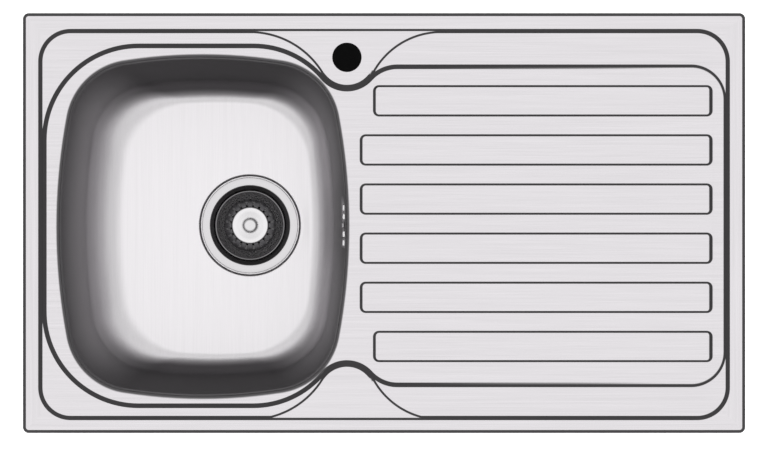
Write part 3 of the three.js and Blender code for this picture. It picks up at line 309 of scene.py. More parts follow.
def rounded(left, right, front, back, radius):
    """A rectangle with round corners, as four arcs of (x, y, radius, start angle, end angle)."""
    low_x, high_x, low_y, high_y = left + radius, right - radius, front + radius, back - radius
    corners = [(high_x, high_y), (low_x, high_y), (low_x, low_y), (high_x, low_y)]
    return [(x, y, radius, turn * quarter, (turn + 1) * quarter) for turn, (x, y) in enumerate(corners)]


def crowned(centre_x, centre_y, half_x, half_y, corner):
    """A rectangle whose sides bulge, as twelve arcs, for each corner itself and half of either
    side. A corner's centre is where circles about the two crowns' centres, each of its crown's
    radius less the corner's, cross."""
    side_x, end_y = half_x - side_crown, half_y - end_crown
    side_reach, end_reach = side_crown - corner, end_crown - corner
    gap = np.hypot(side_x, end_y)
    along = (side_reach**2 - end_reach**2 + gap**2) / (2 * gap)
    away = np.sqrt(side_reach**2 - along**2)
    x = side_x - side_x / gap * along - end_y / gap * away
    y = end_y / gap * along - side_x / gap * away
    side_turn, end_turn = np.arctan2(y, x - side_x), np.arctan2(y - end_y, x)
    arcs = []
    for turn, (sx, sy) in enumerate([(1, 1), (-1, 1), (-1, -1), (1, -1)]):
        start = turn * quarter
        if turn % 2 == 0:
            arcs += [(side_x * sx, 0, side_crown, start, start + side_turn),
                     (x * sx, y * sy, corner, start + side_turn, start + end_turn),
                     (0, end_y * sy, end_crown, start + end_turn, start + quarter)]
        else:
            arcs += [(0, end_y * sy, end_crown, start, start + quarter - end_turn),
                     (x * sx, y * sy, corner, start + quarter - end_turn, start + quarter - side_turn),
                     (side_x * sx, 0, side_crown, start + quarter - side_turn, start + quarter)]
    return [(cx + centre_x, cy + centre_y, r, a, b) for cx, cy, r, a, b in arcs]


def joined(arcs):
    """The straights from each arc's end to the next arc's start, as (start point, end point)."""
    ends = [np.array([[cx + r * np.cos(t), cy + r * np.sin(t)] for t in (a, b)])
            for cx, cy, r, a, b in arcs]
    straights = [(ends[i][1], ends[(i + 1) % len(ends)][0]) for i in range(len(ends))]
    return [(p, q) for p, q in straights if np.hypot(*(q - p)) > 1e-6]


def depth_in(points, arcs):
    """How far points lie inside an outline of arcs and the straights between them, negative
    outside, and the inward normal there: both come from the nearest arc or straight. An arc
    that runs clockwise is hollow, so its inside is away from its centre."""
    best = np.full(len(points), 1e9)
    normal = np.zeros((len(points), 2))
    for cx, cy, radius, start, end in arcs:
        offset = points - (cx, cy)
        reach = np.maximum(np.hypot(*offset.T), 1e-9)
        way = 1.0 if end > start else -1.0
        turn = (way * (np.arctan2(offset[:, 1], offset[:, 0]) - start)) % (2 * np.pi)
        past = turn > abs(end - start) + 1e-9
        depth = way * (radius - reach)
        better = ~past & (np.abs(depth) < np.abs(best))
        best = np.where(better, depth, best)
        normal[better] = (-way * offset / reach[:, None])[better]
    for first, last in joined(arcs):
        length = np.hypot(*(last - first))
        along = (last - first) / length
        inward = np.array([-along[1], along[0]])
        share = (points - first) @ along
        depth = (points - first) @ inward
        better = (share >= 0) & (share <= length) & (np.abs(depth) < np.abs(best))
        best = np.where(better, depth, best)
        normal[better] = inward
    return best, normal


def polar(x, y, reach, turn):
    """Points at a distance and a turn from a centre: (x + r cos a, y + r sin a)."""
    return np.stack([x + reach * np.cos(turn), y + reach * np.sin(turn)], -1)


def row_round(arcs, outward, turn_step=0.055, length_step=60.0):
    """A closed row of points that stays a distance outside an outline."""
    rows = []
    for cx, cy, radius, start, end in arcs:
        way = 1.0 if end > start else -1.0
        count = max(2, int(np.ceil(abs(end - start) / turn_step)),
                    int(np.ceil(abs(end - start) * radius / length_step)))
        turn = np.linspace(start, end, count + 1)
        rows.append(polar(cx, cy, radius + way * outward, turn))
    row = np.concatenate(rows)
    keep = np.hypot(*(row - np.roll(row, 1, 0)).T) > 1e-4
    return row[keep]


def smooth_min(a, b, soft=fillet):
    """The lesser of two heights, with the crease between them rounded off over the soft height."""
    blend = np.maximum(soft - np.abs(a - b), 0.0)
    return np.minimum(a, b) - blend**2 / (4 * np.maximum(soft, 1e-9))


def smooth_max(a, b, soft=fillet):
    """The greater of two heights, with the crease between them rounded off in the same way."""
    return -smooth_min(-a, -b, soft)


outer_arcs = rounded(left_end, right_end, front_edge, back_edge, outer_corner)
rim_arcs = rounded(rim_left, rim_right, rim_front, rim_back, rim_corner)


def basin_arcs():
    """The back half of the basin's outline, about its own axis, where its walls meet the panel:
    the nose round the tap hole blends into the straight sides by two arcs."""
    right, left = board_end + basin_merge, rim_left + rim_wall - basin_merge
    nose_y = tap_y - basin_axis

    def blend(radius, half_width):
        """A blending arc's height and run from the nose's centre, and the angle where the two meet."""
        drop = nose_y - (half_width - radius)
        run = np.sqrt((radius + nose_radius) ** 2 - drop**2)
        return half_width - radius, run, np.arctan2(drop, run)

    board_y, board_run, board_lean = blend(nose_blend_board, board_side_half)
    bowl_side_y, bowl_run, bowl_lean = blend(nose_blend_bowl, bowl_side_half)
    return [
        (right - board_side_corner, board_side_half - board_side_corner, board_side_corner, 0, quarter),
        (tap_x + board_run, board_y, nose_blend_board, quarter, np.pi - board_lean),
        (tap_x, nose_y, nose_radius, -board_lean, bowl_lean - np.pi),
        (tap_x - bowl_run, bowl_side_y, nose_blend_bowl, bowl_lean, quarter),
        (left + bowl_side_corner, bowl_side_half - bowl_side_corner, bowl_side_corner, quarter, np.pi),
    ]


def both_halves(arcs):
    """A back half's arcs followed by their mirror images, placed about the basin's axis."""
    back = [(x, basin_axis + y, r, a, b) for x, y, r, a, b in arcs]
    return back + [(x, basin_axis - y, r, -b, -a) for x, y, r, a, b in reversed(arcs)]


basin_outline = both_halves(basin_arcs())
mouth_arcs = crowned(bowl_x, bowl_y, bowl_length / 2, bowl_width / 2, bowl_corner)
rib_outlines = []
for rib in range(rib_count):
    rib_start = board_start + (outer_rib_start if rib in (0, rib_count - 1) else inner_rib_start)
    rib_y = basin_axis + rib_offset + ((rib_count - 1) / 2 - rib) * rib_pitch
    rib_outlines.append(rounded(rib_start, right_end - rib_end_margin, rib_y - rib_width / 2,
                                rib_y + rib_width / 2, rib_corner))


def board_height(x):
    """The basin's floor: level beside the bowl, then the drainboard's even slope."""
    return smooth_max(np.full(x.shape, basin_top), basin_top + board_slope * (x - board_start), board_fillet)


def ledge_height(points):
    """The tap ledge and the boss that mirrors it: level, and falling away past the two hollow
    flanks, which leave the rim's wall as tangents. The creases fade to nothing at the flanks' ends."""
    x, y = points[:, 0], np.abs(points[:, 1] - basin_axis) + basin_axis
    wall_y = rim_back - (rim_top - ledge_top) * wall_run
    bowl_flank, board_flank = tap_x - flank_bowl_reach, tap_x + flank_board_reach
    near_bowl = np.hypot(x - bowl_flank, y - wall_y + flank_bowl_radius) - flank_bowl_radius
    near_board = np.hypot(x - board_flank, y - wall_y + flank_board_radius) - flank_board_radius
    depth = np.minimum(near_bowl, near_board)
    inside = (x > bowl_flank) & (x < board_flank)
    height = ledge_top + np.minimum(depth, flank_limit) / wall_run
    soft = np.clip(np.minimum(x - bowl_flank, board_flank - x) / flank_fade, 0.0, 1.0) * fillet
    return np.where(inside, smooth_min(np.full(x.shape, ledge_top), height), far_below), soft


def pressed_height(points):
    """Height of the sheet's face before its outer fold and the bowl's mouth. Each step is a
    level or a wall that falls by its run, whichever is higher or lower, with rounded creases."""
    rim_depth = depth_in(points, rim_arcs)[0]
    wall = smooth_min(np.full(len(points), rim_top), rim_top - rim_depth / wall_run)
    height = smooth_max(np.full(len(points), panel_top), wall)
    ledge, ledge_soft = ledge_height(points)
    height = smooth_max(height, ledge, ledge_soft)
    board = board_height(points[:, 0])
    basin_depth = depth_in(points, basin_outline)[0]
    along_board = np.clip((points[:, 0] - board_start) / (board_end - board_start), 0.0, 1.0)
    run = wall_run * (1.0 + (board_run - 1.0) * along_board)
    height = smooth_min(height, smooth_max(board, panel_top - basin_depth / run))
    for outline in rib_outlines:
        rib_depth, inward = depth_in(points, outline)
        run = rib_run * (1.0 + rib_end_runs[0] * np.clip(inward[:, 0], 0, 1) ** 2
                         + rib_end_runs[1] * np.clip(-inward[:, 0], 0, 1) ** 2)
        rise = smooth_min(np.full(len(points), rib_height), rib_depth / run)
        height = smooth_max(height, board + rise)
    return height


bend_radius, lip_radius, bend_lead = 0.7, 0.6, 0.6
slope_turn = np.arctan2(edge_drop, edge_run)
fold_length = np.hypot(edge_run, edge_drop) + rim_top - edge_drop - lip_gap
fold_start = edge_run + bend_lead


def fold_path():
    """Outward reach and drop along the outer fold: the sheet's slope turns from level to the
    edge's slope, and then to upright, evenly round two small bends."""
    step = 0.01
    travelled = np.arange(0.0, fold_length + bend_lead + step, step)
    first = bend_lead - bend_radius * slope_turn / 2
    second = bend_lead + np.hypot(edge_run, edge_drop) - lip_radius * (quarter - slope_turn) / 2
    turn = np.interp(travelled, [first, first + bend_radius * slope_turn, second,
                                 second + lip_radius * (quarter - slope_turn)],
                     [0.0, slope_turn, slope_turn, quarter])
    out = np.concatenate([[0.0], np.cumsum(np.cos(turn[:-1]) * step)])
    drop = np.concatenate([[0.0], np.cumsum(np.sin(turn[:-1]) * step)])
    lip = np.argmax(turn >= quarter - 1e-6)
    out *= fold_start / out[lip:].max()
    drop *= (rim_top - lip_gap) / drop[-1]
    return travelled, out, drop


fold_table = fold_path()
fold_reach = fold_table[0][-1] - fold_start
mouth_start, mouth_end = 5.9, -7.0  # the mouth's roll on the flat sheet, out from the mouth's outline


def deck_face(points):
    """Places of points of the flat, unrolled sheet: its pressed height, with the outer edge
    folded down and the mouth rolled over its radius and on down the bowl's leaning wall."""
    height = pressed_height(points)
    place = np.column_stack([points, height])
    depth, inward = depth_in(points, outer_arcs)
    travel = np.clip(fold_start - depth, 0.0, None)
    out = np.interp(travel, fold_table[0], fold_table[1])
    drop = np.interp(travel, fold_table[0], fold_table[2])
    place[:, :2] += inward * (travel - out)[:, None]
    place[:, 2] -= drop
    depth, inward = depth_in(points, mouth_arcs)
    lean_x = np.where(inward[:, 0] > 0, lean["left"], lean["right"])
    lean_y = np.where(inward[:, 1] > 0, lean["front"], lean["back"])
    slant = np.arctan((lean_x * np.abs(inward[:, 0]) + lean_y * np.abs(inward[:, 1]))
                      / (wall_top - foot_top))
    centre = roll_radius / np.cos(slant)
    flat = mouth_start - centre
    roll = roll_radius * (quarter - slant)
    straight = (wall_top - seam_z + roll_radius * np.sin(slant)) / np.cos(slant)
    share = np.clip((mouth_start + depth) / (mouth_start - mouth_end), 0.0, None)
    travel = share * (flat + roll + straight)
    turn = np.clip((travel - flat) / roll_radius, 0.0, quarter - slant)
    beyond = np.clip(travel - flat - roll, 0.0, None)
    outward = np.where(travel < flat, mouth_start - travel, centre - roll_radius * np.sin(turn)
                       - beyond * np.sin(slant))
    fall = roll_radius * (1 - np.cos(turn)) + beyond * np.cos(slant)
    inside = share > 0
    shift = np.where(inside, -depth - outward, 0.0)
    place[:, :2] += inward * shift[:, None]
    place[:, 2] = np.where(inside, height - fall, place[:, 2])
    return place


def face_normals(surface, points, step=0.02):
    """Upward normals of a face, from its slopes either side of each point."""
    across = surface(points + (step, 0)) - surface(points - (step, 0))
    along = surface(points + (0, step)) - surface(points - (0, step))
    normal = np.cross(across, along)
    return normal / np.linalg.norm(normal, axis=1)[:, None]


def triangulated(closed_rows, open_rows, keep):
    """Triangles between rows of plan points, apart from those whose middle keep() leaves out."""
    points, edges, first = [], [], 0
    for row, closed in [(r, True) for r in closed_rows] + [(r, False) for r in open_rows]:
        index = np.arange(len(row) if closed else len(row) - 1)
        points.append(row)
        edges.append(np.stack([first + index, first + (index + 1) % len(row)], 1))
        first += len(row)
    plan = np.concatenate(points)
    made = delaunay_2d_cdt([Vector(p) for p in plan.tolist()], np.concatenate(edges).tolist(), [], 0, 1e-5)
    plan = np.array([tuple(v) for v in made[0]])
    triangles = np.array([f for f in made[2] if len(f) == 3])
    triangles = triangles[keep(plan[triangles].mean(1))]
    used, triangles = np.unique(triangles, return_inverse=True)
    return plan[used], triangles.reshape(-1, 3)


def border(triangles):
    """The edges that only one triangle has, in that triangle's direction."""
    edges = np.concatenate([triangles[:, [0, 1]], triangles[:, [1, 2]], triangles[:, [2, 0]]])
    _, first, count = np.unique(np.sort(edges, 1), axis=0, return_index=True, return_counts=True)
    return edges[first[count == 1]]


def mesh_of(name, points, faces):
    """A mesh of points given in millimetres."""
    mesh = bpy.data.meshes.new(name)
    mesh.from_pydata((points * MM).tolist(), [], faces)
    return mesh


def sheet_mesh(name, top, normals, triangles, thickness, fold_shade=None):
    """A sheet's closed mesh: its face, the same face moved back along the normals, and the cut
    edge between them. The faces shade by the normals given, and the cut edge stays sharp. How
    much painted shade each point takes, if given, goes into an attribute."""
    count = len(top)
    back = top - normals * thickness
    edge = border(triangles)
    side = np.concatenate([
        np.stack([edge[:, 1], edge[:, 0], edge[:, 0] + count], 1),
        np.stack([edge[:, 1], edge[:, 0] + count, edge[:, 1] + count], 1)])
    faces = np.concatenate([triangles, triangles[:, ::-1] + count, side])
    mesh = mesh_of(name, np.concatenate([top, back]), faces.tolist())
    run = top[edge[:, 1]] - top[edge[:, 0]]
    outward = np.cross(run, normals[edge[:, 0]])
    outward /= np.maximum(np.linalg.norm(outward, axis=1), 1e-9)[:, None]
    split = np.concatenate([
        normals[triangles].reshape(-1, 3), -normals[triangles[:, ::-1]].reshape(-1, 3),
        np.repeat(outward, 3, 0), np.repeat(outward, 3, 0)])
    mesh.polygons.foreach_set("use_smooth", np.ones(len(faces), bool))
    mesh.normals_split_custom_set(split.tolist())
    if fold_shade is not None:
        mesh.attributes.new("fold_shade", "FLOAT", "POINT").data.foreach_set(
            "value", np.tile(fold_shade, 2).astype(np.float32))
    return mesh


# Rows of points on the flat sheet, closest where it bends: by the travel over the outer fold,
# out from the mouth, and either side of a crease.
fold_rows = np.array([0.0, 0.3, 0.4, 0.5, 0.6, 0.7, 0.8, 0.9, 2.0, 3.2, 4.3, 4.45, 4.6, 4.75, 4.9,
                      5.1, fold_table[0][-1]])
mouth_rows = np.concatenate([[mouth_start + 0.6], np.linspace(mouth_start, mouth_start - 8.2, 15),
                             [mouth_start - 10.0, mouth_end]])
crease = np.array([-0.36, -0.24, -0.14, -0.05, 0.05, 0.15, 0.27])
rows = [row_round(outer_arcs, travel - fold_start) for travel in fold_rows]
rows += [row_round(mouth_arcs, out, 0.04, 16.0) for out in mouth_rows]
rows += [row_round(rim_arcs, -inset) for inset in np.concatenate([crease, [1.6, 3.0], rim_wall + crease])]
basin_foot = (panel_top - basin_top) * wall_run
rows += [row_round(basin_outline, -inset) for inset in np.concatenate(
    [crease, [1.4], (basin_foot - board_rise * wall_run) * board_run + crease, [4.2], basin_foot + crease])]
rib_top = rib_height * rib_run
for outline in rib_outlines:
    rows += [row_round(outline, -inset, 0.2) for inset in np.concatenate([
        crease, [1.1], rib_top + crease, rib_top * (1 + rib_end_runs[0]) + crease[::2], [3.6],
        rib_top * (1 + rib_end_runs[1]) + crease[::2]])]
hole_turn = np.linspace(0, 2 * np.pi, 97)[:-1]
rows += [polar(tap_x, tap_y, tap_hole_radius + out, hole_turn) for out in (0.0, 0.8)]


def ledge_rows():
    """Rows along the ledge's two flanks and round its nose, and the same at the front boss."""
    wall_y = rim_back - (rim_top - ledge_top) * wall_run
    fall = (ledge_top - panel_top) * wall_run
    # each arc's x, y and radius, the turns between which its rows run, and the ledge's side of it
    arcs = [(tap_x - flank_bowl_reach, wall_y - flank_bowl_radius, flank_bowl_radius, 1.53, 0.1, -1),
            (tap_x + flank_board_reach, wall_y - flank_board_radius, flank_board_radius, 1.61, 3.0, -1),
            (tap_x, tap_y, nose_radius - fall, -3.0, -0.1, 1),
            (tap_x, tap_y, nose_radius, -3.0, -0.1, 1)]
    made = []
    for x, y, radius, start, end, way in arcs:
        for out in np.concatenate([way * crease] + ([-fall - crease] if way < 0 else [])):
            turn = np.linspace(start, end, 48)
            arc = polar(x, y, radius + out, turn)
            made += [arc, arc * (1, -1) + (0, 2 * basin_axis)]
    return made


def deck_keeps(middle):
    """Sheet is left inside the outer fold, outside the mouth, and round the tap hole."""
    tap_hole = np.hypot(middle[:, 0] - tap_x, middle[:, 1] - tap_y) < tap_hole_radius
    return ((depth_in(middle, outer_arcs)[0] > -fold_reach) & ~tap_hole
            & (depth_in(middle, mouth_arcs)[0] < -mouth_end))


# Painted shade on the pressing's steep folds: none at a slope of 0.14 radians, all at 0.40.
level_slope, full_shade_slope = 0.14, 0.40
# Round the bowl's mouth the painted shade is 0.8 as strong.
mouth_fold_shade_share = 0.8
plan, deck_triangles = triangulated(rows, ledge_rows(), deck_keeps)
deck_top = deck_face(plan)
deck_normals = face_normals(deck_face, plan)
deck_slope = np.arccos(np.clip(deck_normals[:, 2], 0, 1))
deck_fold_shade = np.clip((deck_slope - level_slope) / (full_shade_slope - level_slope), 0, 1)
at_mouth = depth_in(plan, mouth_arcs)[0] > -mouth_start
deck_fold_shade *= np.where(at_mouth, mouth_fold_shade_share, 1.0)
deck_mesh = sheet_mesh("deck_pressing", deck_top, deck_normals, deck_triangles, sheet, deck_fold_shade)


def brush_lines(w, along, length_scale=9.0, width_scale=1500.0):
    """Brush lines, from 0 to 1, that run along X, or along Y if along is 1."""
    stretch = [width_scale] * 3
    stretch[along] = length_scale
    return w.place().noise(1.0, 3.0, 0.65, stretch)


def brushed(w, along, broad_scale=260.0):
    """Fine brush lines over broad, fainter ones: 0.6 of the fine and 0.4 of the broad."""
    return brush_lines(w, along) * 0.6 + brush_lines(w, along, 5.0, broad_scale) * 0.4


brush_depth = 0.00002


def steel_inputs(lines, tint, rough=0.2, rough_vary=0.08, bump=0.25, vary=0.10):
    """Stainless steel with brush lines in its colour, gloss and surface."""
    darker = colour(*(c * (1 - vary) for c in tint))
    lighter = colour(*(min(1.0, c * (1 + vary)) for c in tint))
    return {
        "Base Color": lines.mix(darker, lighter),
        "Metallic": 1.0,
        "Roughness": lines * rough_vary + (rough - rough_vary / 2),
        "Normal": lines.bump(bump, brush_depth),
    }


# The second tint is the colour of the painted shade on the steep folds.
deck_tint, fold_shade_tint = (0.557, 0.540, 0.557), (0.060, 0.058, 0.060)
end_rim, mitre_blur, fold_rough = (0.0229, 0.0235), 0.0002, 0.3


def deck_steel(w):
    """Flats brushed along their length, the rim's ends across, and painted shade that darkens the
    colour on the steep folds, which are also rougher."""
    x, y, _ = w.place().parts()
    from_end = right_end * MM - x.maths("ABSOLUTE", x)
    from_side = back_edge * MM - y.maths("ABSOLUTE", y)
    past_mitre = (from_side - from_end).step(-mitre_blur, mitre_blur)
    on_end_rim = (1.0 - from_end.step(*end_rim)) * past_mitre
    lines = (1.0 - on_end_rim) * brushed(w, 0) + on_end_rim * brushed(w, 1)
    inputs = steel_inputs(lines, deck_tint, vary=0.2)
    fold_shade = w.node("ShaderNodeAttribute", output="Fac", attribute_name="fold_shade").step(0.0, 1.0)
    inputs["Base Color"] = fold_shade.mix(inputs["Base Color"], colour(*fold_shade_tint))
    inputs["Roughness"] = inputs["Roughness"] + fold_shade * fold_rough
    return inputs


body_of = {node: body for body, nodes in frame["record"]["behaviour"]["bodies"].items() for node in nodes}


def stand_for(piece, node):
    """The piece takes a CAD node's place: it joins the node's body, and the node is hidden."""
    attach(piece, body_of[node])
    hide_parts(node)


def heights(node):
    """A CAD node's lowest and highest z."""
    return [corner[2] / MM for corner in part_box(node)]


stand_for(new_object("deck_pressing", deck_mesh, shade("deck_steel", deck_steel)), "deck")

# ---------------------------------------------------------------- bowl
# A separate deep drawing of the same sheet, welded to the mouth below its rolled edge and
# ground flush. Its walls lean in to a curved foot and a floor that falls to the waste.
waste_offset_x, waste_offset_y = 55.1, 1.5
waste_x, waste_y = bowl_x + waste_offset_x, bowl_y + waste_offset_y
recess_radius, recess_depth, recess_step = 61.0, 3.5, 2.0
waste_hole_radius = 46.3
floor_fall = 1.2
bowl_floor = basin_top - bowl_depth
recess_top = bowl_floor - floor_fall
curve_rise, curve_weight, curve_rows = 40.0, 0.75, 24
floor_reach = {"left": 76.5, "right": 43.0, "back": 53.5, "front": 50.0}  # in from the mouth


def lifted(row, z):
    """Plan points at a height."""
    return np.column_stack([row, np.full(len(row), z)])


def bowl_ring(z, inset, samples=(10, 20, 10) * 4):
    """A row round the bowl at a height: the mouth's outline, drawn in by an inset for each side,
    with a number of samples for each of its arcs."""
    left, right = -bowl_length / 2 + inset["left"], bowl_length / 2 - inset["right"]
    front, back = -bowl_width / 2 + inset["front"], bowl_width / 2 - inset["back"]
    arcs = crowned(bowl_x + (left + right) / 2, bowl_y + (front + back) / 2, (right - left) / 2,
                   (back - front) / 2, bowl_corner)
    row = [polar(cx, cy, radius, np.linspace(start, end, count + 1)[:-1])
           for (cx, cy, radius, start, end), count in zip(arcs, samples)]
    return lifted(np.concatenate(row), z)


def wall_inset(z):
    """How far each straight wall has leant in at a height."""
    return {side: reach * (wall_top - z) / (wall_top - foot_top) for side, reach in lean.items()}


def foot_ring(t):
    """A row of the curve from wall to floor: a conic that leaves the wall along its slope,
    heads for where the wall would meet the floor, and ends level on the floor."""
    high = wall_inset(bowl_floor + curve_rise)
    aim = wall_inset(bowl_floor)
    share = np.array([(1 - t) ** 2, 2 * curve_weight * t * (1 - t), t**2])
    share /= share.sum()
    inset = {side: share @ (high[side], aim[side], floor_reach[side]) for side in lean}
    return bowl_ring(bowl_floor + share[0] * curve_rise, inset)


wall_levels = np.linspace(seam_z, bowl_floor + curve_rise, 9)
bowl_rows = [bowl_ring(z, wall_inset(z)) for z in wall_levels]
bowl_rows += [foot_ring(t) for t in np.linspace(0, 1, curve_rows + 1)[1:]]
floor_edge = bowl_rows[-1]
recess_rows = np.array([64.0, 62.6, 61.9, 61.5, 61.2, 60.9, 60.6, 60.2, 59.8, 59.4, 59.1, 58.8, 58.4,
                        57.8, 52.0, waste_hole_radius])
recess_soft = 0.8
recess_wall = recess_top - (recess_radius - recess_rows) * recess_depth / recess_step
recess_floor = np.full(len(recess_rows), recess_top - recess_depth)
recess_heights = smooth_min(np.full(len(recess_rows), recess_top), recess_wall, recess_soft)
recess_heights = smooth_max(recess_floor, recess_heights, recess_soft)
to_waste = floor_edge[:, :2] - (waste_x, waste_y)
to_waste /= np.hypot(*to_waste.T)[:, None]


def waste_ring(radius, z):
    """A round row about the waste, in step with the rows of the floor."""
    return lifted(np.array([waste_x, waste_y]) + to_waste * radius, z)


# The floor between its edge and the recess falls by (1.35 s - 0.35 s^2) s^(1/4).
outer_ring = waste_ring(recess_rows[0], recess_heights[0])
for share in np.linspace(0, 1, 9)[1:-1]:
    ring = floor_edge * (1 - share) + outer_ring * share
    fall = (1.35 * share - 0.35 * share**2) * share**0.25
    ring[:, 2] = bowl_floor + (recess_heights[0] - bowl_floor) * fall
    bowl_rows.append(ring)
bowl_rows += [waste_ring(radius, z) for radius, z in zip(recess_rows, recess_heights)]
bowl_grid = np.array(bowl_rows)


def grid_normals(grid):
    """Upward normals of a grid of closed rings, from its neighbours round and across."""
    round_way = np.roll(grid, -1, 1) - np.roll(grid, 1, 1)
    down_way = np.gradient(grid, axis=0)
    normal = np.cross(round_way, down_way)
    return normal / np.linalg.norm(normal, axis=2)[:, :, None]


def smoothed(mesh, angle):
    """Shades a mesh smooth, apart from the edges that bend by more than an angle."""
    mesh.polygons.foreach_set("use_smooth", np.ones(len(mesh.polygons), bool))
    mesh.set_sharp_from_angle(angle=angle)
    return mesh


def shell_mesh(name, face, back):
    """A closed mesh between two grids of rings: the face, the back, and the two cut edges."""
    rings, around = face.shape[:2]
    loop = np.concatenate([face, back[::-1]])
    index = np.arange(loop.shape[0] * around).reshape(loop.shape[0], around)
    below, beside = np.roll(index, -1, 0), np.roll(index, -1, 1)
    faces = np.stack([index, below, np.roll(below, -1, 1), beside], -1).reshape(-1, 4)
    return smoothed(mesh_of(name, loop.reshape(-1, 3), faces.tolist()), 0.6)


bowl_normals = grid_normals(bowl_grid)
bowl_back = bowl_grid - bowl_normals * sheet
bowl_back[-1, :, :2] = bowl_grid[-1, :, :2]
bowl_back[0, :, 2] = bowl_grid[0, :, 2]
bowl_mesh = shell_mesh("bowl_drawing", bowl_grid, bowl_back)

# Painted shade on the bowl's walls: none at a slope of 0.60 radians, all at 1.02, the same all
# the way up the end walls, and more towards the top of the side walls.
shallow_slope, steep_slope = 0.60, 1.02
side_share, side_power = 0.95, 0.8
bowl_slope = np.arccos(np.clip(bowl_normals[:, :, 2], 0, 1))
steepness = np.clip((bowl_slope - shallow_slope) / (steep_slope - shallow_slope), 0, 1)
facing = bowl_normals[:, :, :2] ** 2
across = facing[:, :, 1] / np.maximum(facing.sum(2), 1e-9)
up_wall = np.clip((bowl_grid[:, :, 2] - bowl_floor) / bowl_depth, 0, 1)
wall_shade = across + (1 - across) * side_share * up_wall**side_power
wall_shade *= steepness**2 * (3 - 2 * steepness)
wall_shade[bowl_grid[:, :, 2] < bowl_floor] = 0.0
bowl_mesh.attributes.new("wall_shade", "FLOAT", "POINT").data.foreach_set(
    "value", np.concatenate([wall_shade, wall_shade[::-1]]).ravel().astype(np.float32))
# The second tint is the colour of the painted shade on the walls.
bowl_tint, wall_shade_tint = (0.835, 0.815, 0.835), (0.145, 0.14, 0.145)


def bowl_steel(w):
    """The brush lines run front to back, and painted shade darkens the steep walls."""
    wall_shade_share = w.node("ShaderNodeAttribute", output="Fac", attribute_name="wall_shade")
    inputs = steel_inputs(brushed(w, 1, 200.0), bowl_tint, rough=0.40, vary=0.13)
    inputs["Base Color"] = wall_shade_share.mix(inputs["Base Color"], colour(*wall_shade_tint))
    inputs["Specular Tint"] = colour(0.35, 0.35, 0.35)
    return inputs


bowl = new_object("bowl_drawing", bowl_mesh, shade("bowl_steel", bowl_steel))
stand_for(bowl, "bowl")

# Four upright slots and a screw hole are pierced in the wall beside the drainboard. Below
# each slot the sheet is turned out as a short, nearly level tongue that leads water away.
slot_pitch, slot_width, slot_height = 10.5, 7.4, 20.0
slot_places = (-2, -1, 1, 2)
screw_hole_radius = 2.3
overflow_drop = 26.5
overflow_z = basin_top - overflow_drop
wall_lean = lean["right"] / (wall_top - foot_top)
overflow_tilt = np.arctan(wall_lean)
overflow_x = bowl_right - (wall_top - overflow_z) * wall_lean


def on_wall(points):
    """Places points drawn about the origin, with +X out through the wall, on the bowl's right
    wall: they turn about Y by the wall's lean and move to the overflow's middle."""
    x, y, z = np.moveaxis(np.asarray(points, float), -1, 0)
    cos, sin = np.cos(overflow_tilt), np.sin(overflow_tilt)
    return np.stack([overflow_x + x * cos + z * sin, waste_y + y, overflow_z - x * sin + z * cos], -1)


def capsule(half_width, half_height, steps=8):
    """An upright slot with round ends, as (y, z) points in order."""
    turn = np.linspace(0, np.pi, steps + 1)
    top = np.stack([half_width * np.cos(turn), half_height - half_width + half_width * np.sin(turn)], 1)
    return np.concatenate([top, -top])


def prism_mesh(name, outlines):
    """Closed prisms, each between the first and the second of two like outlines."""
    points, faces, first = [], [], 0
    for near, far in outlines:
        count = len(near)
        index = np.arange(count)
        after = (index + 1) % count
        points += [near, far]
        faces += (first + np.stack([index, after, after + count, index + count], 1)).tolist()
        faces += [(first + index[::-1]).tolist(), (first + count + index).tolist()]
        first += 2 * count
    return mesh_of(name, np.concatenate(points), faces)


def out_of(outline, x):
    """The (y, z) outline at a distance x out through the wall."""
    return on_wall(np.column_stack([np.full(len(outline), x), outline]))


def applied(piece):
    """Bakes an object's modifiers into its mesh."""
    mesh = bpy.data.meshes.new_from_object(piece.evaluated_get(bpy.context.evaluated_depsgraph_get()))
    piece.modifiers.clear()
    piece.data = mesh


def pierced(piece, punch_mesh):
    """Takes the punch's mesh out of a piece."""
    punch = bpy.data.objects.new("punch", punch_mesh)
    bpy.context.scene.collection.objects.link(punch)
    cut = piece.modifiers.new("cut", "BOOLEAN")
    cut.operation, cut.solver, cut.object = "DIFFERENCE", "EXACT", punch
    applied(piece)
    bpy.data.objects.remove(punch)


holes = [capsule(slot_width / 2, slot_height / 2) + (place * slot_pitch, 0) for place in slot_places]
holes.append(capsule(screw_hole_radius, screw_hole_radius, 12))
pierced(bowl, prism_mesh("overflow_punch", [(out_of(hole, -3.0), out_of(hole, 5.0)) for hole in holes]))
bowl.data.set_sharp_from_angle(angle=0.6)

tongue_reach, tongue_sheet, tongue_foot, tongue_side_gap = 3.6, 0.6, 1.2, 0.35
tongue_outline = np.array([
    (0.1, -0.5), (0.45, -0.12), (1.0, 0.0), (tongue_reach, 0.12),
    (tongue_reach, 0.12 - tongue_sheet), (1.0, -tongue_sheet), (0.5, -0.9), (0.1, -1.4)])


def tongue(place):
    """One tongue's two end outlines, level in the sink's frame and seated in its slot's foot."""
    x, y, z = on_wall([0.0, place * slot_pitch, -slot_height / 2 + tongue_foot])
    half = slot_width / 2 - tongue_side_gap
    return [np.column_stack([x + tongue_outline[:, 0], np.full(len(tongue_outline), y + side * half),
                             z + tongue_outline[:, 1]]) for side in (-1, 1)]


def tongue_steel(w):
    """Bright sheet, with its brush lines front to back."""
    return steel_inputs(brush_lines(w, 1), (0.86, 0.85, 0.86), rough=0.3)


tongues_mesh = prism_mesh("overflow_tongues", [tongue(place) for place in slot_places])
tongues = new_object("overflow_tongues", tongues_mesh, shade("tongue_steel", tongue_steel))
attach(tongues, "sink")

# ---------------------------------------------------------------- strainer waste
# A bright steel flange with a deep cup sits in the bowl's recess on a rubber ring. One
# long bolt through its spider pulls the white plastic body up against the bowl from below.
waste_axis = np.array([waste_x, waste_y])


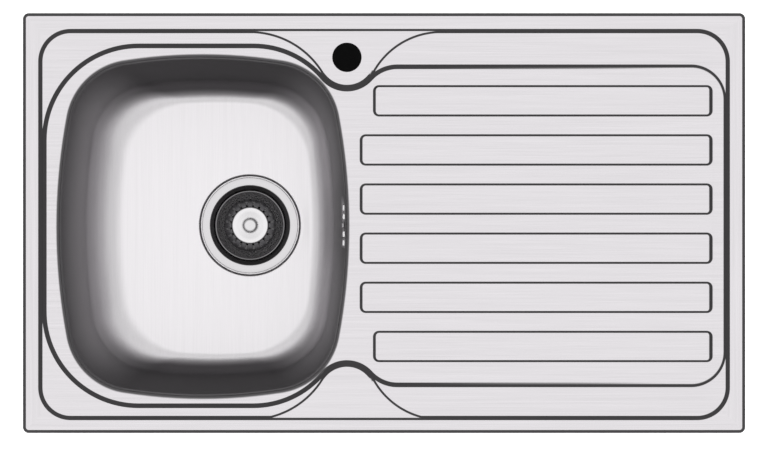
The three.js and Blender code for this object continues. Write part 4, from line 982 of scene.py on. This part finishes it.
def softened(profile, radius, steps=4):
    """A closed (r, z) loop with its corners, apart from those on the axis, rounded by parabolas
    that start within the radius, or 0.45 of a side, of each corner."""
    profile = np.asarray(profile, float)
    before, after = np.roll(profile, 1, 0) - profile, np.roll(profile, -1, 0) - profile
    reach = np.minimum(radius, 0.45 * np.minimum(np.hypot(*before.T), np.hypot(*after.T)))[:, None]
    start = profile + before / np.hypot(*before.T)[:, None] * reach
    end = profile + after / np.hypot(*after.T)[:, None] * reach
    t = np.linspace(0, 1, steps)[None, :, None]
    arcs = (1 - t) ** 2 * start[:, None] + 2 * t * (1 - t) * profile[:, None] + t**2 * end[:, None]
    on_axis = profile[:, 0] < 1e-6
    arcs[on_axis] = profile[on_axis][:, None]
    return arcs.reshape(-1, 2)


def tube_faces(index):
    """Quads over a grid of point numbers whose rows and columns both close on themselves."""
    ahead, round_way = np.roll(index, -1, 0), np.roll(index, -1, 1)
    return np.stack([index, round_way, np.roll(ahead, -1, 1), ahead], -1).reshape(-1, 4)


def turned_mesh(name, profiles, axis=waste_axis, radius=0.3, segments=96, place=None):
    """Closed rings turned about an upright axis: x = r cos a, y = r sin a, for each (r, z) loop.
    place(), if given, moves the points, drawn about the origin, to where they belong."""
    points, faces, first = [], [], 0
    turn = np.linspace(0, 2 * np.pi, segments + 1)[:-1]
    for profile in profiles:
        loop = softened(profile, radius)
        ahead = np.roll(loop, -1, 0)
        if np.sum(loop[:, 0] * ahead[:, 1] - ahead[:, 0] * loop[:, 1]) < 0:
            loop = loop[::-1]
        grid = np.stack([loop[:, :1] * np.cos(turn), loop[:, :1] * np.sin(turn),
                         np.repeat(loop[:, 1:], segments, 1)], -1)
        faces.append(tube_faces(first + np.arange(len(loop) * segments).reshape(-1, segments)))
        points.append(grid.reshape(-1, 3))
        first += len(points[-1])
    points = np.concatenate(points)
    points = place(points) if place else points + (*axis, 0.0)
    mesh = mesh_of(name, points, np.concatenate(faces).tolist())
    merged = bmesh.new()
    merged.from_mesh(mesh)
    bmesh.ops.remove_doubles(merged, verts=merged.verts, dist=1e-7)
    bmesh.ops.dissolve_degenerate(merged, edges=merged.edges, dist=1e-7)
    merged.to_mesh(mesh)
    merged.free()
    return smoothed(mesh, 0.9)


def turned_piece(node, name, material, profiles, **shape):
    """A turned piece that takes a CAD node's place."""
    stand_for(new_object(name, turned_mesh(name, profiles, **shape), material), node)


def from_waste(w):
    """The distance from the waste's axis, and the height, in metres."""
    x, y, z = w.place().parts()
    x, y = x - waste_x * MM, y - waste_y * MM
    return (x * x + y * y).root(), z


def polished(w, tint=(0.56, 0.55, 0.56), rough=0.16):
    """Spun, polished steel: faint rings about the waste's axis."""
    reach, z = from_waste(w)
    rings = w.node("ShaderNodeCombineXYZ", {0: reach, 1: z})
    lines = rings.noise(1.0, 3.0, 0.6, (2500.0, 2500.0, 1.0))
    return steel_inputs(lines, tint, rough=rough, rough_vary=0.06, bump=0.2, vary=0.05)


spider_z, flange_top = heights("waste_flange")
flange_radius, cup_radius, throat_radius = 57.5, 43.3, 19.0
hub_radius, arm_half, spider_height = 7.0, 1.5, 2.4
cup_floor = spider_z + 8.0
flange_profile = [
    (flange_radius, flange_top - 1.0), (flange_radius - 0.5, flange_top - 0.1), (48.1, flange_top),
    (47.5, flange_top - 1.2), (cup_radius, flange_top - 4.4), (cup_radius, cup_floor + 2.2),
    (cup_radius - 2.2, cup_floor), (throat_radius + 1.0, cup_floor), (throat_radius, cup_floor - 1.0),
    (throat_radius, spider_z), (throat_radius + 0.8, spider_z), (throat_radius + 0.8, cup_floor - 0.8),
    (cup_radius - 2.2, cup_floor - 0.8), (cup_radius + 0.8, cup_floor + 2.2),
    (cup_radius + 0.8, flange_top - 4.4), (46.0, flange_top - 2.6), (48.3, flange_top - 1.0),
]
hub_profile = [(3.3, spider_z), (hub_radius, spider_z), (hub_radius, spider_z + spider_height),
               (3.3, spider_z + spider_height)]


def arm_outlines(inner, outer, half, low, high):
    """Four arms across a round passage, as pairs of end outlines."""
    section = np.array([(-half, low), (half, low), (half, high), (-half, high)])
    return [[np.column_stack([waste_x + reach * np.cos(turn) - section[:, 0] * np.sin(turn),
                              waste_y + reach * np.sin(turn) + section[:, 0] * np.cos(turn), section[:, 1]])
             for reach in (inner, outer)] for turn in np.arange(4) * quarter]


def joined_mesh(name, *meshes):
    """One mesh that holds several."""
    joined = bmesh.new()
    for mesh in meshes:
        joined.from_mesh(mesh)
    made = bpy.data.meshes.new(name)
    joined.to_mesh(made)
    joined.free()
    return made


flange_arms = arm_outlines(hub_radius - 0.5, throat_radius + 0.3, arm_half, spider_z,
                           spider_z + spider_height)
flange_mesh = joined_mesh("flange", turned_mesh("flange_shell", [flange_profile, hub_profile]),
                          prism_mesh("flange_arms", flange_arms))
polished_steel = shade("polished_steel", polished)


def flange_steel(w):
    """Bright on the flange; inside the cup, painted shade darkens the colour, most of all at its mouth, and
    the metal is rougher.
    """
    z = w.place().parts()[2]
    above_cup = z.step((flange_top - 1.7) * MM, (flange_top - 0.4) * MM)
    painted_shade = z.step((flange_top - 7.0) * MM, (flange_top - 4.6) * MM).mix(
        colour(0.45, 0.44, 0.45), colour(0.070, 0.068, 0.070))
    inputs = polished(w, (0.54, 0.53, 0.54), rough=0.22)
    inputs["Base Color"] = above_cup.mix(painted_shade, inputs["Base Color"])
    inputs["Roughness"] = 0.42 - above_cup * 0.2
    return inputs


stand_for(new_object("strainer_flange", flange_mesh, shade("flange_steel", flange_steel)), "waste_flange")


def rubber(w):
    """Moulded black rubber: matt, with a fine tooth and a little bloom."""
    spot = w.place()
    grain, bloom = spot.noise(900.0, 3.0), spot.noise(45.0, 3.0)
    return {
        "Base Color": bloom.mix(colour(0.010, 0.010, 0.011), colour(0.030, 0.030, 0.031)),
        "Roughness": bloom * 0.2 + 0.6,
        "Normal": grain.bump(0.3, 0.00005),
    }


black_rubber = shade("black_rubber", rubber)


def ring_of(node, inner, outer):
    """A plain ring's (r, z) loop, as high as the CAD node."""
    low, high = heights(node)
    return [(inner, low), (outer, low), (outer, high), (inner, high)]


for node, inner, outer in (("flange_gasket", 49.0, 56.5), ("body_gasket", 46.6, 58.0)):
    turned_piece(node, node + "_ring", black_rubber, [ring_of(node, inner, outer)])


def white_moulding(w):
    """White moulded plastic: slightly uneven gloss and a faint warm cloud in the colour."""
    spot = w.place()
    cloud, skin = spot.noise(18.0, 3.0), spot.noise(700.0, 2.0)
    return {
        "Base Color": cloud.mix(colour(0.76, 0.75, 0.71), colour(0.83, 0.82, 0.79)),
        "Roughness": cloud * 0.14 + 0.3,
        "Coat Weight": cloud * 0.1,
        "Normal": skin.bump(0.15, 0.00004),
    }


white_plastic = shade("white_plastic", white_moulding)
spigot_end, body_top = heights("waste_body")
cone_foot = spigot_end + 28.0
cone_top = cone_foot + 16.0
spigot_radius, spigot_bore = 23.9, 20.0
thread_count, thread_pitch, thread_depth = 8, 2.5, 0.9
thread = []
for turn_number in range(thread_count):
    start = spigot_end + 2.0 + turn_number * thread_pitch
    thread += [(spigot_radius - thread_depth, start), (spigot_radius, start + 0.9),
               (spigot_radius, start + 1.5), (spigot_radius - thread_depth, start + thread_pitch - 0.1)]
chamber_bore, chamber_radius, seat_radius, seat_foot = 46.6, 49.6, 60.0, body_top - 4.0
body_profile = [(spigot_bore, spigot_end), (spigot_radius - thread_depth, spigot_end)] + thread + [
    (spigot_radius, cone_foot - 3.0), (spigot_radius, cone_foot - 2.0), (chamber_radius, cone_top - 2.0),
    (chamber_radius, seat_foot), (seat_radius, seat_foot), (seat_radius, body_top), (chamber_bore, body_top),
    (chamber_bore, cone_top), (spigot_bore, cone_foot)]
hub_low, body_hub_radius = cone_foot - 11.0, 8.5
body_hub = [(5.5, hub_low), (body_hub_radius, hub_low), (body_hub_radius, cone_foot), (5.5, cone_foot)]
inlet_bore, inlet_radius, inlet_start, inlet_end = 8.0, 11.0, 47.6, 74.0
inlet_z = heights("overflow_seal_side")[0] + inlet_radius


def along_x(points):
    """Turns points drawn up the Z axis to run along +X from the waste, at the inlet's height."""
    x, y, z = points.T
    return np.stack([waste_x + z, waste_y + y, inlet_z - x], 1)


inlet_profile = [(inlet_bore, inlet_start), (inlet_radius, inlet_start), (inlet_radius, inlet_end),
                 (inlet_bore, inlet_end)]
collar_profile = [(inlet_bore, 48.0), (13.5, 48.0), (13.5, 51.0), (11.8, 53.0), (inlet_bore, 53.0)]
rib_profiles = [[(49.0, z - 0.9), (50.9, z - 0.9), (50.9, z + 0.9), (49.0, z + 0.9)]
                for z in (body_top - 9.0, cone_top + 1.2)]
body_arms = arm_outlines(body_hub_radius - 0.5, spigot_bore + 0.6, arm_half, hub_low, cone_foot)
body_mesh = joined_mesh(
    "waste_body_moulding", turned_mesh("body_shell", [body_profile, body_hub] + rib_profiles, radius=0.5),
    turned_mesh("body_inlet", [inlet_profile, collar_profile], radius=0.4, segments=64, place=along_x),
    prism_mesh("body_arms", body_arms))
stand_for(new_object("waste_body_moulding", body_mesh, white_plastic), "waste_body")

bolt_low, bolt_high = heights("waste_bolt")
bolt_seat = bolt_high - 3.4
bolt_thread = []
for z in np.arange(bolt_low + 0.8, bolt_low + 16.0, 1.0):
    bolt_thread += [(2.55, z), (3.0, z + 0.5)]
bolt_profile = [(0, bolt_low), (2.4, bolt_low)] + bolt_thread + [
    (3.0, bolt_low + 17.0), (3.0, bolt_seat), (5.5, bolt_seat), (5.5, bolt_high - 1.0),
    (4.2, bolt_high - 0.1), (1.8, bolt_high), (1.5, bolt_high - 1.4), (0, bolt_high - 1.6)]
turned_piece("waste_bolt", "strainer_bolt", polished_steel, [bolt_profile], radius=0.2, segments=48)


def turned_brass(w):
    """Turned brass: yellow metal with fine tool rings and dull spots."""
    spot = w.place()
    rings, dull = spot.noise(1.0, 2.0, 0.5, (300.0, 300.0, 4000.0)), spot.noise(150.0, 3.0)
    return {
        "Base Color": dull.mix(colour(0.42, 0.27, 0.09), colour(0.62, 0.44, 0.17)),
        "Metallic": 1.0,
        "Roughness": dull * 0.2 + 0.24,
        "Normal": rings.bump(0.3, 0.00004),
    }


turned_piece("waste_insert", "brass_insert", shade("brass", turned_brass),
             [ring_of("waste_insert", 3.3, 5.2)], segments=48)

# ---------------------------------------------------------------- strainer basket
# A lift-out basket of thin polished sheet: a rolled rim, a steep wall full of round holes,
# a sloping ring of twenty slots and a dished cap. Its post carries the knob and the plug.
basket_rim = heights("basket_cup")[1]
basket_floor = basket_rim - 22.0
cap_top = basket_floor + 1.6
basket_sheet = 0.7
slot_total = 20
basket_curve = np.array([
    (3.3, cap_top - 1.25), (7.0, cap_top - 1.15), (11.0, cap_top - 0.85), (15.0, cap_top - 0.4),
    (18.0, cap_top - 0.1), (20.4, cap_top), (21.3, cap_top - 0.1), (21.9, cap_top - 0.7),
    (22.4, basket_floor + 0.1), (23.2, basket_floor + 0.05), (27.0, basket_floor + 1.4),
    (30.2, basket_floor + 3.1), (31.6, basket_floor + 4.8), (35.5, basket_floor + 12.7),
    (39.2, basket_rim - 1.9), (39.6, basket_rim - 0.8), (40.2, basket_rim - 0.15), (40.9, basket_rim),
    (41.55, basket_rim - 0.3), (41.95, basket_rim - 1.0)])
basket_steps = np.hypot(*np.diff(basket_curve, axis=0).T)
basket_lengths = basket_curve[0, 0] + np.concatenate([[0.0], np.cumsum(basket_steps)])


def basket_places(travel):
    """(r, z) at a distance along the basket's section, from its middle."""
    return np.stack([np.interp(travel, basket_lengths, basket_curve[:, 0]),
                     np.interp(travel, basket_lengths, basket_curve[:, 1])], -1)


def basket_face(points):
    """Folds the flattened disc up into the basket: a point keeps its turn, and its distance
    from the middle runs along the section."""
    travel, turn = np.hypot(*points.T), np.arctan2(points[:, 1], points[:, 0])
    place = basket_places(travel)
    return np.column_stack([polar(waste_x, waste_y, place[:, 0], turn), place[:, 1]])


def basket_normals(points, step=0.35):
    """Normals from the section's slope either side of each point."""
    travel, turn = np.hypot(*points.T), np.arctan2(points[:, 1], points[:, 0])
    run = basket_places(np.minimum(travel + step, basket_lengths[-1]))
    run -= basket_places(np.maximum(travel - step, basket_lengths[0]))
    run /= np.hypot(*run.T)[:, None]
    return np.column_stack([-run[:, 1] * np.cos(turn), -run[:, 1] * np.sin(turn), run[:, 0]])


first_row, row_pitch, hole_radius, holes_round = 34.0, 4.1, 1.5, 32
# rows of holes, as a distance along the section and the share of a pitch that a row is shifted by
hole_rows = [(first_row + row_pitch * row, row % 2 * 0.5) for row in range(4)]
slot_inner, slot_outer, slot_half = 23.3, 30.2, 1.3


def hole_outline(travel, turn, corners=10):
    """A round hole's outline on the flattened disc, drawn so that it is round once folded up."""
    angle = np.linspace(0, 2 * np.pi, corners + 1)[:-1]
    out = travel + hole_radius * np.cos(angle)
    return polar(0, 0, out, turn + hole_radius * np.sin(angle) / basket_places(out)[:, 0])


def slot_outline(turn):
    """A slot's outline on the flattened disc, drawn so that its sides are parallel once folded up."""
    out = np.concatenate([np.linspace(slot_inner, slot_outer, 5), np.linspace(slot_outer, slot_inner, 5)])
    side = np.repeat([-slot_half, slot_half], 5)
    return polar(0, 0, out, turn + side / basket_places(out)[:, 0])


def disc_arcs(radius):
    """A circle on the flattened disc, as four arcs."""
    return [(0, 0, radius, turn * quarter, (turn + 1) * quarter) for turn in range(4)]


basket_rows = [row_round(disc_arcs(travel), 0.0, 0.07) for travel in basket_lengths]
for travel, shift in hole_rows:
    basket_rows += [hole_outline(travel, (number + shift) * 2 * np.pi / holes_round)
                    for number in range(holes_round)]
basket_rows += [slot_outline((number + 0.5) * 2 * np.pi / slot_total) for number in range(slot_total)]


def basket_keeps(middle):
    """Sheet is left inside the rim, outside the post's hole, and between the holes and slots."""
    travel, turn = np.hypot(*middle.T), np.arctan2(middle[:, 1], middle[:, 0])
    reach = basket_places(travel)[:, 0]
    kept = (travel > basket_lengths[0]) & (travel < basket_lengths[-1])
    pitch = 2 * np.pi / holes_round
    for row, shift in hole_rows:
        off = (turn / pitch - shift + 0.5) % 1.0 - 0.5
        kept &= np.hypot(travel - row, off * pitch * reach) > hole_radius * 0.96
    pitch = 2 * np.pi / slot_total
    off = turn / pitch % 1.0 - 0.5
    in_slot = (travel > slot_inner) & (travel < slot_outer) & (np.abs(off * pitch * reach) < slot_half)
    return kept & ~in_slot


basket_plan, basket_triangles = triangulated(basket_rows, [], basket_keeps)
basket_mesh = sheet_mesh("strainer_basket", basket_face(basket_plan), basket_normals(basket_plan),
                         basket_triangles, basket_sheet)


# Radii where the painted shade on the basket starts and changes tone, and where the darker rim begins, in
# metres.
wall_foot, wall_middle, wall_head = (0.0221, 0.0226), (0.028, 0.034), (0.0396, 0.0404)


def basket_steel(w):
    """Bright on the cap, with painted shade on the slot ring and the perforated wall, which are also rougher,
    and darker on the rim.
    """
    reach = from_waste(w)[0]
    at_rim = reach.step(*wall_head)
    painted_wall_shade = reach.step(*wall_foot) * (1.0 - at_rim)
    painted_shade = reach.step(*wall_middle).mix(colour(0.115, 0.112, 0.118), colour(0.21, 0.205, 0.21))
    inputs = polished(w, (0.61, 0.60, 0.61))
    bright = at_rim.mix(inputs["Base Color"], colour(0.20, 0.195, 0.20))
    inputs["Base Color"] = painted_wall_shade.mix(bright, painted_shade)
    inputs["Roughness"] = painted_wall_shade * 0.14 + 0.17
    return inputs


stand_for(new_object("strainer_basket", basket_mesh, shade("basket_steel", basket_steel)), "basket_cup")

post_low, post_high = heights("basket_post")
stopper_low, stopper_high = heights("basket_stopper")
knob_low, knob_high = heights("basket_knob")
shoulder_low, shoulder_high = stopper_high + 0.3, basket_curve[0, 1] - basket_sheet - 0.3
post_profile = [
    (0, post_low), (2.6, post_low), (3.0, post_low + 0.5), (3.0, shoulder_low), (5.0, shoulder_low),
    (5.0, shoulder_high), (3.0, shoulder_high), (3.0, post_high), (0, post_high)]
knob_profile = [
    (0, knob_high - 2.3), (3.3, knob_high - 2.3), (3.3, knob_low), (5.75, knob_low), (5.2, knob_low + 1.2),
    (4.75, knob_low + 3.0), (5.0, knob_low + 5.0), (6.0, knob_low + 6.6), (7.2, knob_high - 3.4),
    (7.75, knob_high - 1.7), (7.75, knob_high - 0.75), (7.2, knob_high - 0.42), (6.2, knob_high - 0.12),
    (4.4, knob_high), (2.4, knob_high - 0.1), (0, knob_high - 0.2)]
stopper_profile = [
    (9.0, stopper_low), (22.5, stopper_low), (24.0, stopper_low + 1.0), (24.0, stopper_low + 2.0),
    (22.6, stopper_low + 2.8), (22.6, stopper_low + 3.4), (23.0, stopper_low + 4.0), (20.0, stopper_high),
    (3.3, stopper_high), (3.3, stopper_low + 3.5), (9.0, stopper_low + 3.5)]
turned_piece("basket_post", "strainer_post", polished_steel, [post_profile], radius=0.25, segments=48)
turned_piece("basket_knob", "strainer_knob", polished_steel, [knob_profile], radius=0.35, segments=72)
turned_piece("basket_stopper", "strainer_plug", black_rubber, [stopper_profile], radius=0.5)
turned_piece("post_clip", "plug_clip", polished_steel, [ring_of("post_clip", 3.3, 5.5)], radius=0.25,
             segments=48)

# ---------------------------------------------------------------- rim strip and sound pad
# A strip of closed-cell foam under the rim seals the sink to the worktop, and a bitumen pad
# stuck under the bowl's floor takes the ring out of the steel.
strip_low, strip_high = heights("rim_seal")
strip_outer, strip_inner = 3.4, 11.4
strip_section = softened([(strip_outer, strip_low), (strip_outer, strip_high), (strip_inner, strip_high),
                          (strip_inner, strip_low)], 0.8)
core_inset, core_corner = 14.0, 3.0  # the outline inside the strip that its rows run round
core = rounded(left_end + core_inset, right_end - core_inset, front_edge + core_inset,
               back_edge - core_inset, core_corner)
strip_grid = np.array([lifted(row_round(core, core_inset - inset, 0.12, 12.0), z)
                       for inset, z in strip_section])


def ring_mesh(name, grid):
    """A closed tube from a grid whose rows and columns both close on themselves."""
    points = grid.reshape(-1, 3)
    faces = tube_faces(np.arange(len(points)).reshape(grid.shape[:2]))
    return smoothed(mesh_of(name, points, faces.tolist()), 0.9)


def foam(w):
    """Grey closed-cell foam: fine open cells on the skin and a mottled colour."""
    spot = w.place()
    cells = w.node("ShaderNodeTexVoronoi", {"Vector": spot, "Scale": 1400.0})
    mottle = spot.noise(160.0, 4.0)
    return {
        "Base Color": mottle.mix(colour(0.045, 0.047, 0.050), colour(0.105, 0.108, 0.112)),
        "Roughness": mottle * 0.15 + 0.8,
        "Normal": cells.bump(0.6, 0.0002),
    }


stand_for(new_object("foam_strip", ring_mesh("foam_strip", strip_grid), shade("grey_foam", foam)), "rim_seal")


def bitumen(w):
    """A grey bitumen pad: a pebbled skin with a slight sheen."""
    spot = w.place()
    pebbles, mottle = spot.noise(420.0, 3.0), spot.noise(60.0, 3.0)
    return {
        "Base Color": mottle.mix(colour(0.060, 0.062, 0.066), colour(0.110, 0.113, 0.118)),
        "Roughness": mottle * 0.2 + 0.62,
        "Normal": pebbles.bump(0.5, 0.0004),
    }


pad_front, pad_back = [corner[1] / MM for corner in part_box("sound_pad")]
pad_gap, pad_depth, pad_row_count = 0.2, 2.0, 5
pad_row = len(wall_levels) + curve_rows + 1
pad_rows = slice(pad_row, pad_row + pad_row_count)
pad_line = bowl_back[pad_row]
on_pad = (pad_line[:, 0] < bowl_x) & (pad_line[:, 1] > pad_front) & (pad_line[:, 1] < pad_back)
pad_columns = np.flatnonzero(on_pad)
pad_columns = pad_columns[np.argsort(pad_line[pad_columns, 1])]
pad_place, pad_normals = bowl_back[pad_rows][:, pad_columns], bowl_normals[pad_rows][:, pad_columns]


def slab_mesh(name, top, bottom):
    """A closed slab between two like grids."""
    height, width = top.shape[:2]
    index = np.arange(height * width).reshape(height, width)
    cells = np.stack([index[:-1, :-1], index[1:, :-1], index[1:, 1:], index[:-1, 1:]], -1).reshape(-1, 4)
    rim = np.concatenate([index[0, :-1], index[:-1, -1], index[-1, :0:-1], index[:0:-1, 0]])
    after = np.roll(rim, -1)
    side = np.stack([rim, after, after + height * width, rim + height * width], -1)
    faces = np.concatenate([cells, cells[:, ::-1] + height * width, side])
    mesh = mesh_of(name, np.concatenate([top.reshape(-1, 3), bottom.reshape(-1, 3)]), faces.tolist())
    outward = bmesh.new()
    outward.from_mesh(mesh)
    bmesh.ops.recalc_face_normals(outward, faces=outward.faces)
    outward.to_mesh(mesh)
    outward.free()
    return smoothed(mesh, 0.9)


def bevelled(piece, width, angle):
    """Rounds off the edges that bend by more than an angle."""
    edges = piece.modifiers.new("edges", "BEVEL")
    edges.width, edges.segments, edges.limit_method, edges.angle_limit = width * MM, 3, "ANGLE", angle


pad_mesh = slab_mesh("bitumen_pad", pad_place - pad_normals * pad_gap,
                     pad_place - pad_normals * (pad_gap + pad_depth))
pad = new_object("bitumen_pad", pad_mesh, shade("bitumen", bitumen))
bevelled(pad, 0.5, 0.9)
stand_for(pad, "sound_pad")

# ---------------------------------------------------------------- overflow
# A white plastic head is clamped behind the slots by one screw, on a rubber frame. A bent
# pipe with a compression nut at each end leads the water from it to the waste's inlet.


def rounded_piece(node, name, material, width):
    """A copy of a CAD node takes its place, with its flat faces made whole and its edges rounded."""
    shape = bmesh.new()
    shape.from_mesh(bpy.data.objects[node].data)
    bmesh.ops.remove_doubles(shape, verts=shape.verts, dist=1e-6)
    bmesh.ops.dissolve_limit(shape, angle_limit=0.02, verts=shape.verts, edges=shape.edges)
    mesh = bpy.data.meshes.new(name)
    shape.to_mesh(mesh)
    shape.free()
    piece = new_object(name, mesh, material)
    bevelled(piece, width, 0.6)
    applied(piece)
    smoothed(piece.data, 0.7)
    stand_for(piece, node)


rounded_piece("overflow_head", "overflow_housing", white_plastic, 0.9)
rounded_piece("overflow_gasket", "overflow_frame", black_rubber, 0.4)
screw_head = [(0, -2.05), (2.2, -2.1), (3.1, -1.5), (3.25, -0.8), (3.25, -0.3), (2.0, -0.3)]
screw_thread = []
for reach in np.arange(3.0, 19.0, 0.9):
    screw_thread += [(2.0, reach), (1.7, reach + 0.45)]
screw_profile = screw_head + screw_thread + [(1.6, 20.0), (0, 20.0)]


def out_of_wall(points):
    """Turns points drawn up the Z axis to run out through the overflow's wall."""
    x, y, z = points.T
    return on_wall(np.stack([z, y, -x], 1))


bolt_mesh = turned_mesh("overflow_bolt", [screw_profile], radius=0.15, segments=40, place=out_of_wall)
overflow_bolt = new_object("overflow_bolt", bolt_mesh, polished_steel)
groove = np.array([(-4, -0.4), (4, -0.4), (4, 0.4), (-4, 0.4)])
pierced(overflow_bolt, prism_mesh("groove", [[out_of(groove, x) for x in (-3.0, -1.3)]]))
stand_for(overflow_bolt, "overflow_screw")

pipe_low, pipe_high = [np.array(corner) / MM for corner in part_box("overflow_pipe")]
pipe_radius, pipe_wall, pipe_bend = 9.0, 1.6, 30.0
pipe_x = pipe_high[0] - pipe_radius
bend_turn = np.linspace(0, quarter, 19)
route = np.concatenate([
    [[pipe_x, pipe_high[2]]],
    np.stack([pipe_x - pipe_bend + pipe_bend * np.cos(bend_turn),
              inlet_z + pipe_bend - pipe_bend * np.sin(bend_turn)], 1),
    [[pipe_low[0], inlet_z]]])
route_turn = np.concatenate([[0.0], bend_turn, [quarter]])
around = np.linspace(0, 2 * np.pi, 49)[:-1]


def pipe_rings(radius):
    """Rings square to the pipe's axis: out along the bend's radius by r cos a, across by r sin a."""
    out = radius * np.cos(around)[None, :]
    x = route[:, :1] + out * np.cos(route_turn)[:, None]
    z = route[:, 1:] - out * np.sin(route_turn)[:, None]
    y = np.broadcast_to(waste_y - radius * np.sin(around), x.shape)
    return np.stack([x, y, z], -1)


pipe_grid = np.concatenate([pipe_rings(pipe_radius), pipe_rings(pipe_radius - pipe_wall)[::-1]])
stand_for(new_object("overflow_tube", ring_mesh("overflow_tube", pipe_grid), white_plastic), "overflow_pipe")

nut_profile = [(11.2, -9.0), (14.0, -9.0), (14.0, 4.2), (12.6, 5.6), (9.3, 5.6), (9.3, 2.6), (11.2, 2.6)]
spigot_foot = pipe_high[2] + 0.3
grip_count = 24


def nut_mesh(name, place):
    """A compression nut: a turned body and a ring of upright grip ribs."""
    across, beside = np.array([(13.7, -0.75), (14.95, -0.45), (14.95, 0.45), (13.7, 0.75)]).T
    ribs = []
    for turn in np.arange(grip_count) * 2 * np.pi / grip_count:
        section = np.column_stack([across * np.cos(turn) - beside * np.sin(turn),
                                   across * np.sin(turn) + beside * np.cos(turn)])
        ribs.append([place(lifted(section, z)) for z in (-8.4, 3.6)])
    return joined_mesh(name, turned_mesh(name + "_body", [nut_profile], radius=0.5, segments=72, place=place),
                       prism_mesh(name + "_ribs", ribs))


def below_head(points):
    """Points drawn up the Z axis, turned over and hung on the overflow head's spigot."""
    return points * (1, -1, -1) + (pipe_x, waste_y, spigot_foot)


def past_inlet(points):
    """Points drawn up the Z axis, laid along +X from the end of the waste's inlet."""
    return along_x(points + (0, 0, inlet_end))


seal_profile = [(9.3, 0.3), (11.0, 0.3), (11.0, 2.3), (9.3, 2.3)]
for end, place in (("top", below_head), ("side", past_inlet)):
    nut = new_object(f"pipe_nut_{end}", nut_mesh(f"pipe_nut_{end}", place), white_plastic)
    stand_for(nut, f"overflow_nut_{end}")
    turned_piece(f"overflow_seal_{end}", f"pipe_seal_{end}", black_rubber, [seal_profile], radius=0.4,
                 segments=64, place=place)

# ---------------------------------------------------------------- fixing clips
# Eight zinc-plated clips: a bent strap spot-welded under the sheet holds a threaded boss,
# and its screw lifts a claw that swings out under the worktop and pulls the rim down.


def zinc(w):
    """Bright zinc plate: a bluish grey with crystalline patches and a dull bloom."""
    spot = w.place()
    patches = w.node("ShaderNodeTexVoronoi", {"Vector": spot, "Scale": 420.0}, output="Color").parts()[0]
    bloom = spot.noise(70.0, 4.0)
    return {
        "Base Color": patches.mix(colour(0.34, 0.37, 0.40), colour(0.47, 0.49, 0.51)),
        "Metallic": 1.0,
        "Roughness": bloom * 0.28 + 0.22,
        "Normal": bloom.bump(0.12, 0.0001),
    }


zinc_plate = shade("zinc_plate", zinc)
head_height, shank_radius, shank_thread, shank_pitch = 3.6, 2.5, 0.35, 0.8
for number in range(1, 9):
    clip = f"clip_{number}"
    for part, width in (("bracket", 0.35), ("claw", 0.5)):
        rounded_piece(f"{clip}_{part}", f"{clip}_{part}_plate", zinc_plate, width)
    low, high = np.array(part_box(f"{clip}_screw")) / MM
    centre, foot, tip = (low + high)[:2] / 2, low[2], high[2]
    screw_loop = [(0, foot + 1.5), (1.2, foot + 1.4), (1.6, foot + 0.1), (3.6, foot), (4.6, foot + 1.0),
                  (4.6, foot + head_height), (shank_radius, foot + head_height)]
    for z in np.arange(foot + 6.0, tip - 1.4, shank_pitch):
        screw_loop += [(shank_radius, z), (shank_radius - shank_thread, z + shank_pitch / 2)]
    screw_loop += [(shank_radius, tip - 1.0), (1.9, tip), (0, tip)]
    turned_piece(f"{clip}_screw", f"{clip}_bolt", zinc_plate, [screw_loop], axis=centre, radius=0.12,
                 segments=32)
    turned_piece(f"{clip}_washer", f"{clip}_disc", zinc_plate, [ring_of(f"{clip}_washer", 2.9, 5.5)],
                 axis=centre, radius=0.2, segments=48)
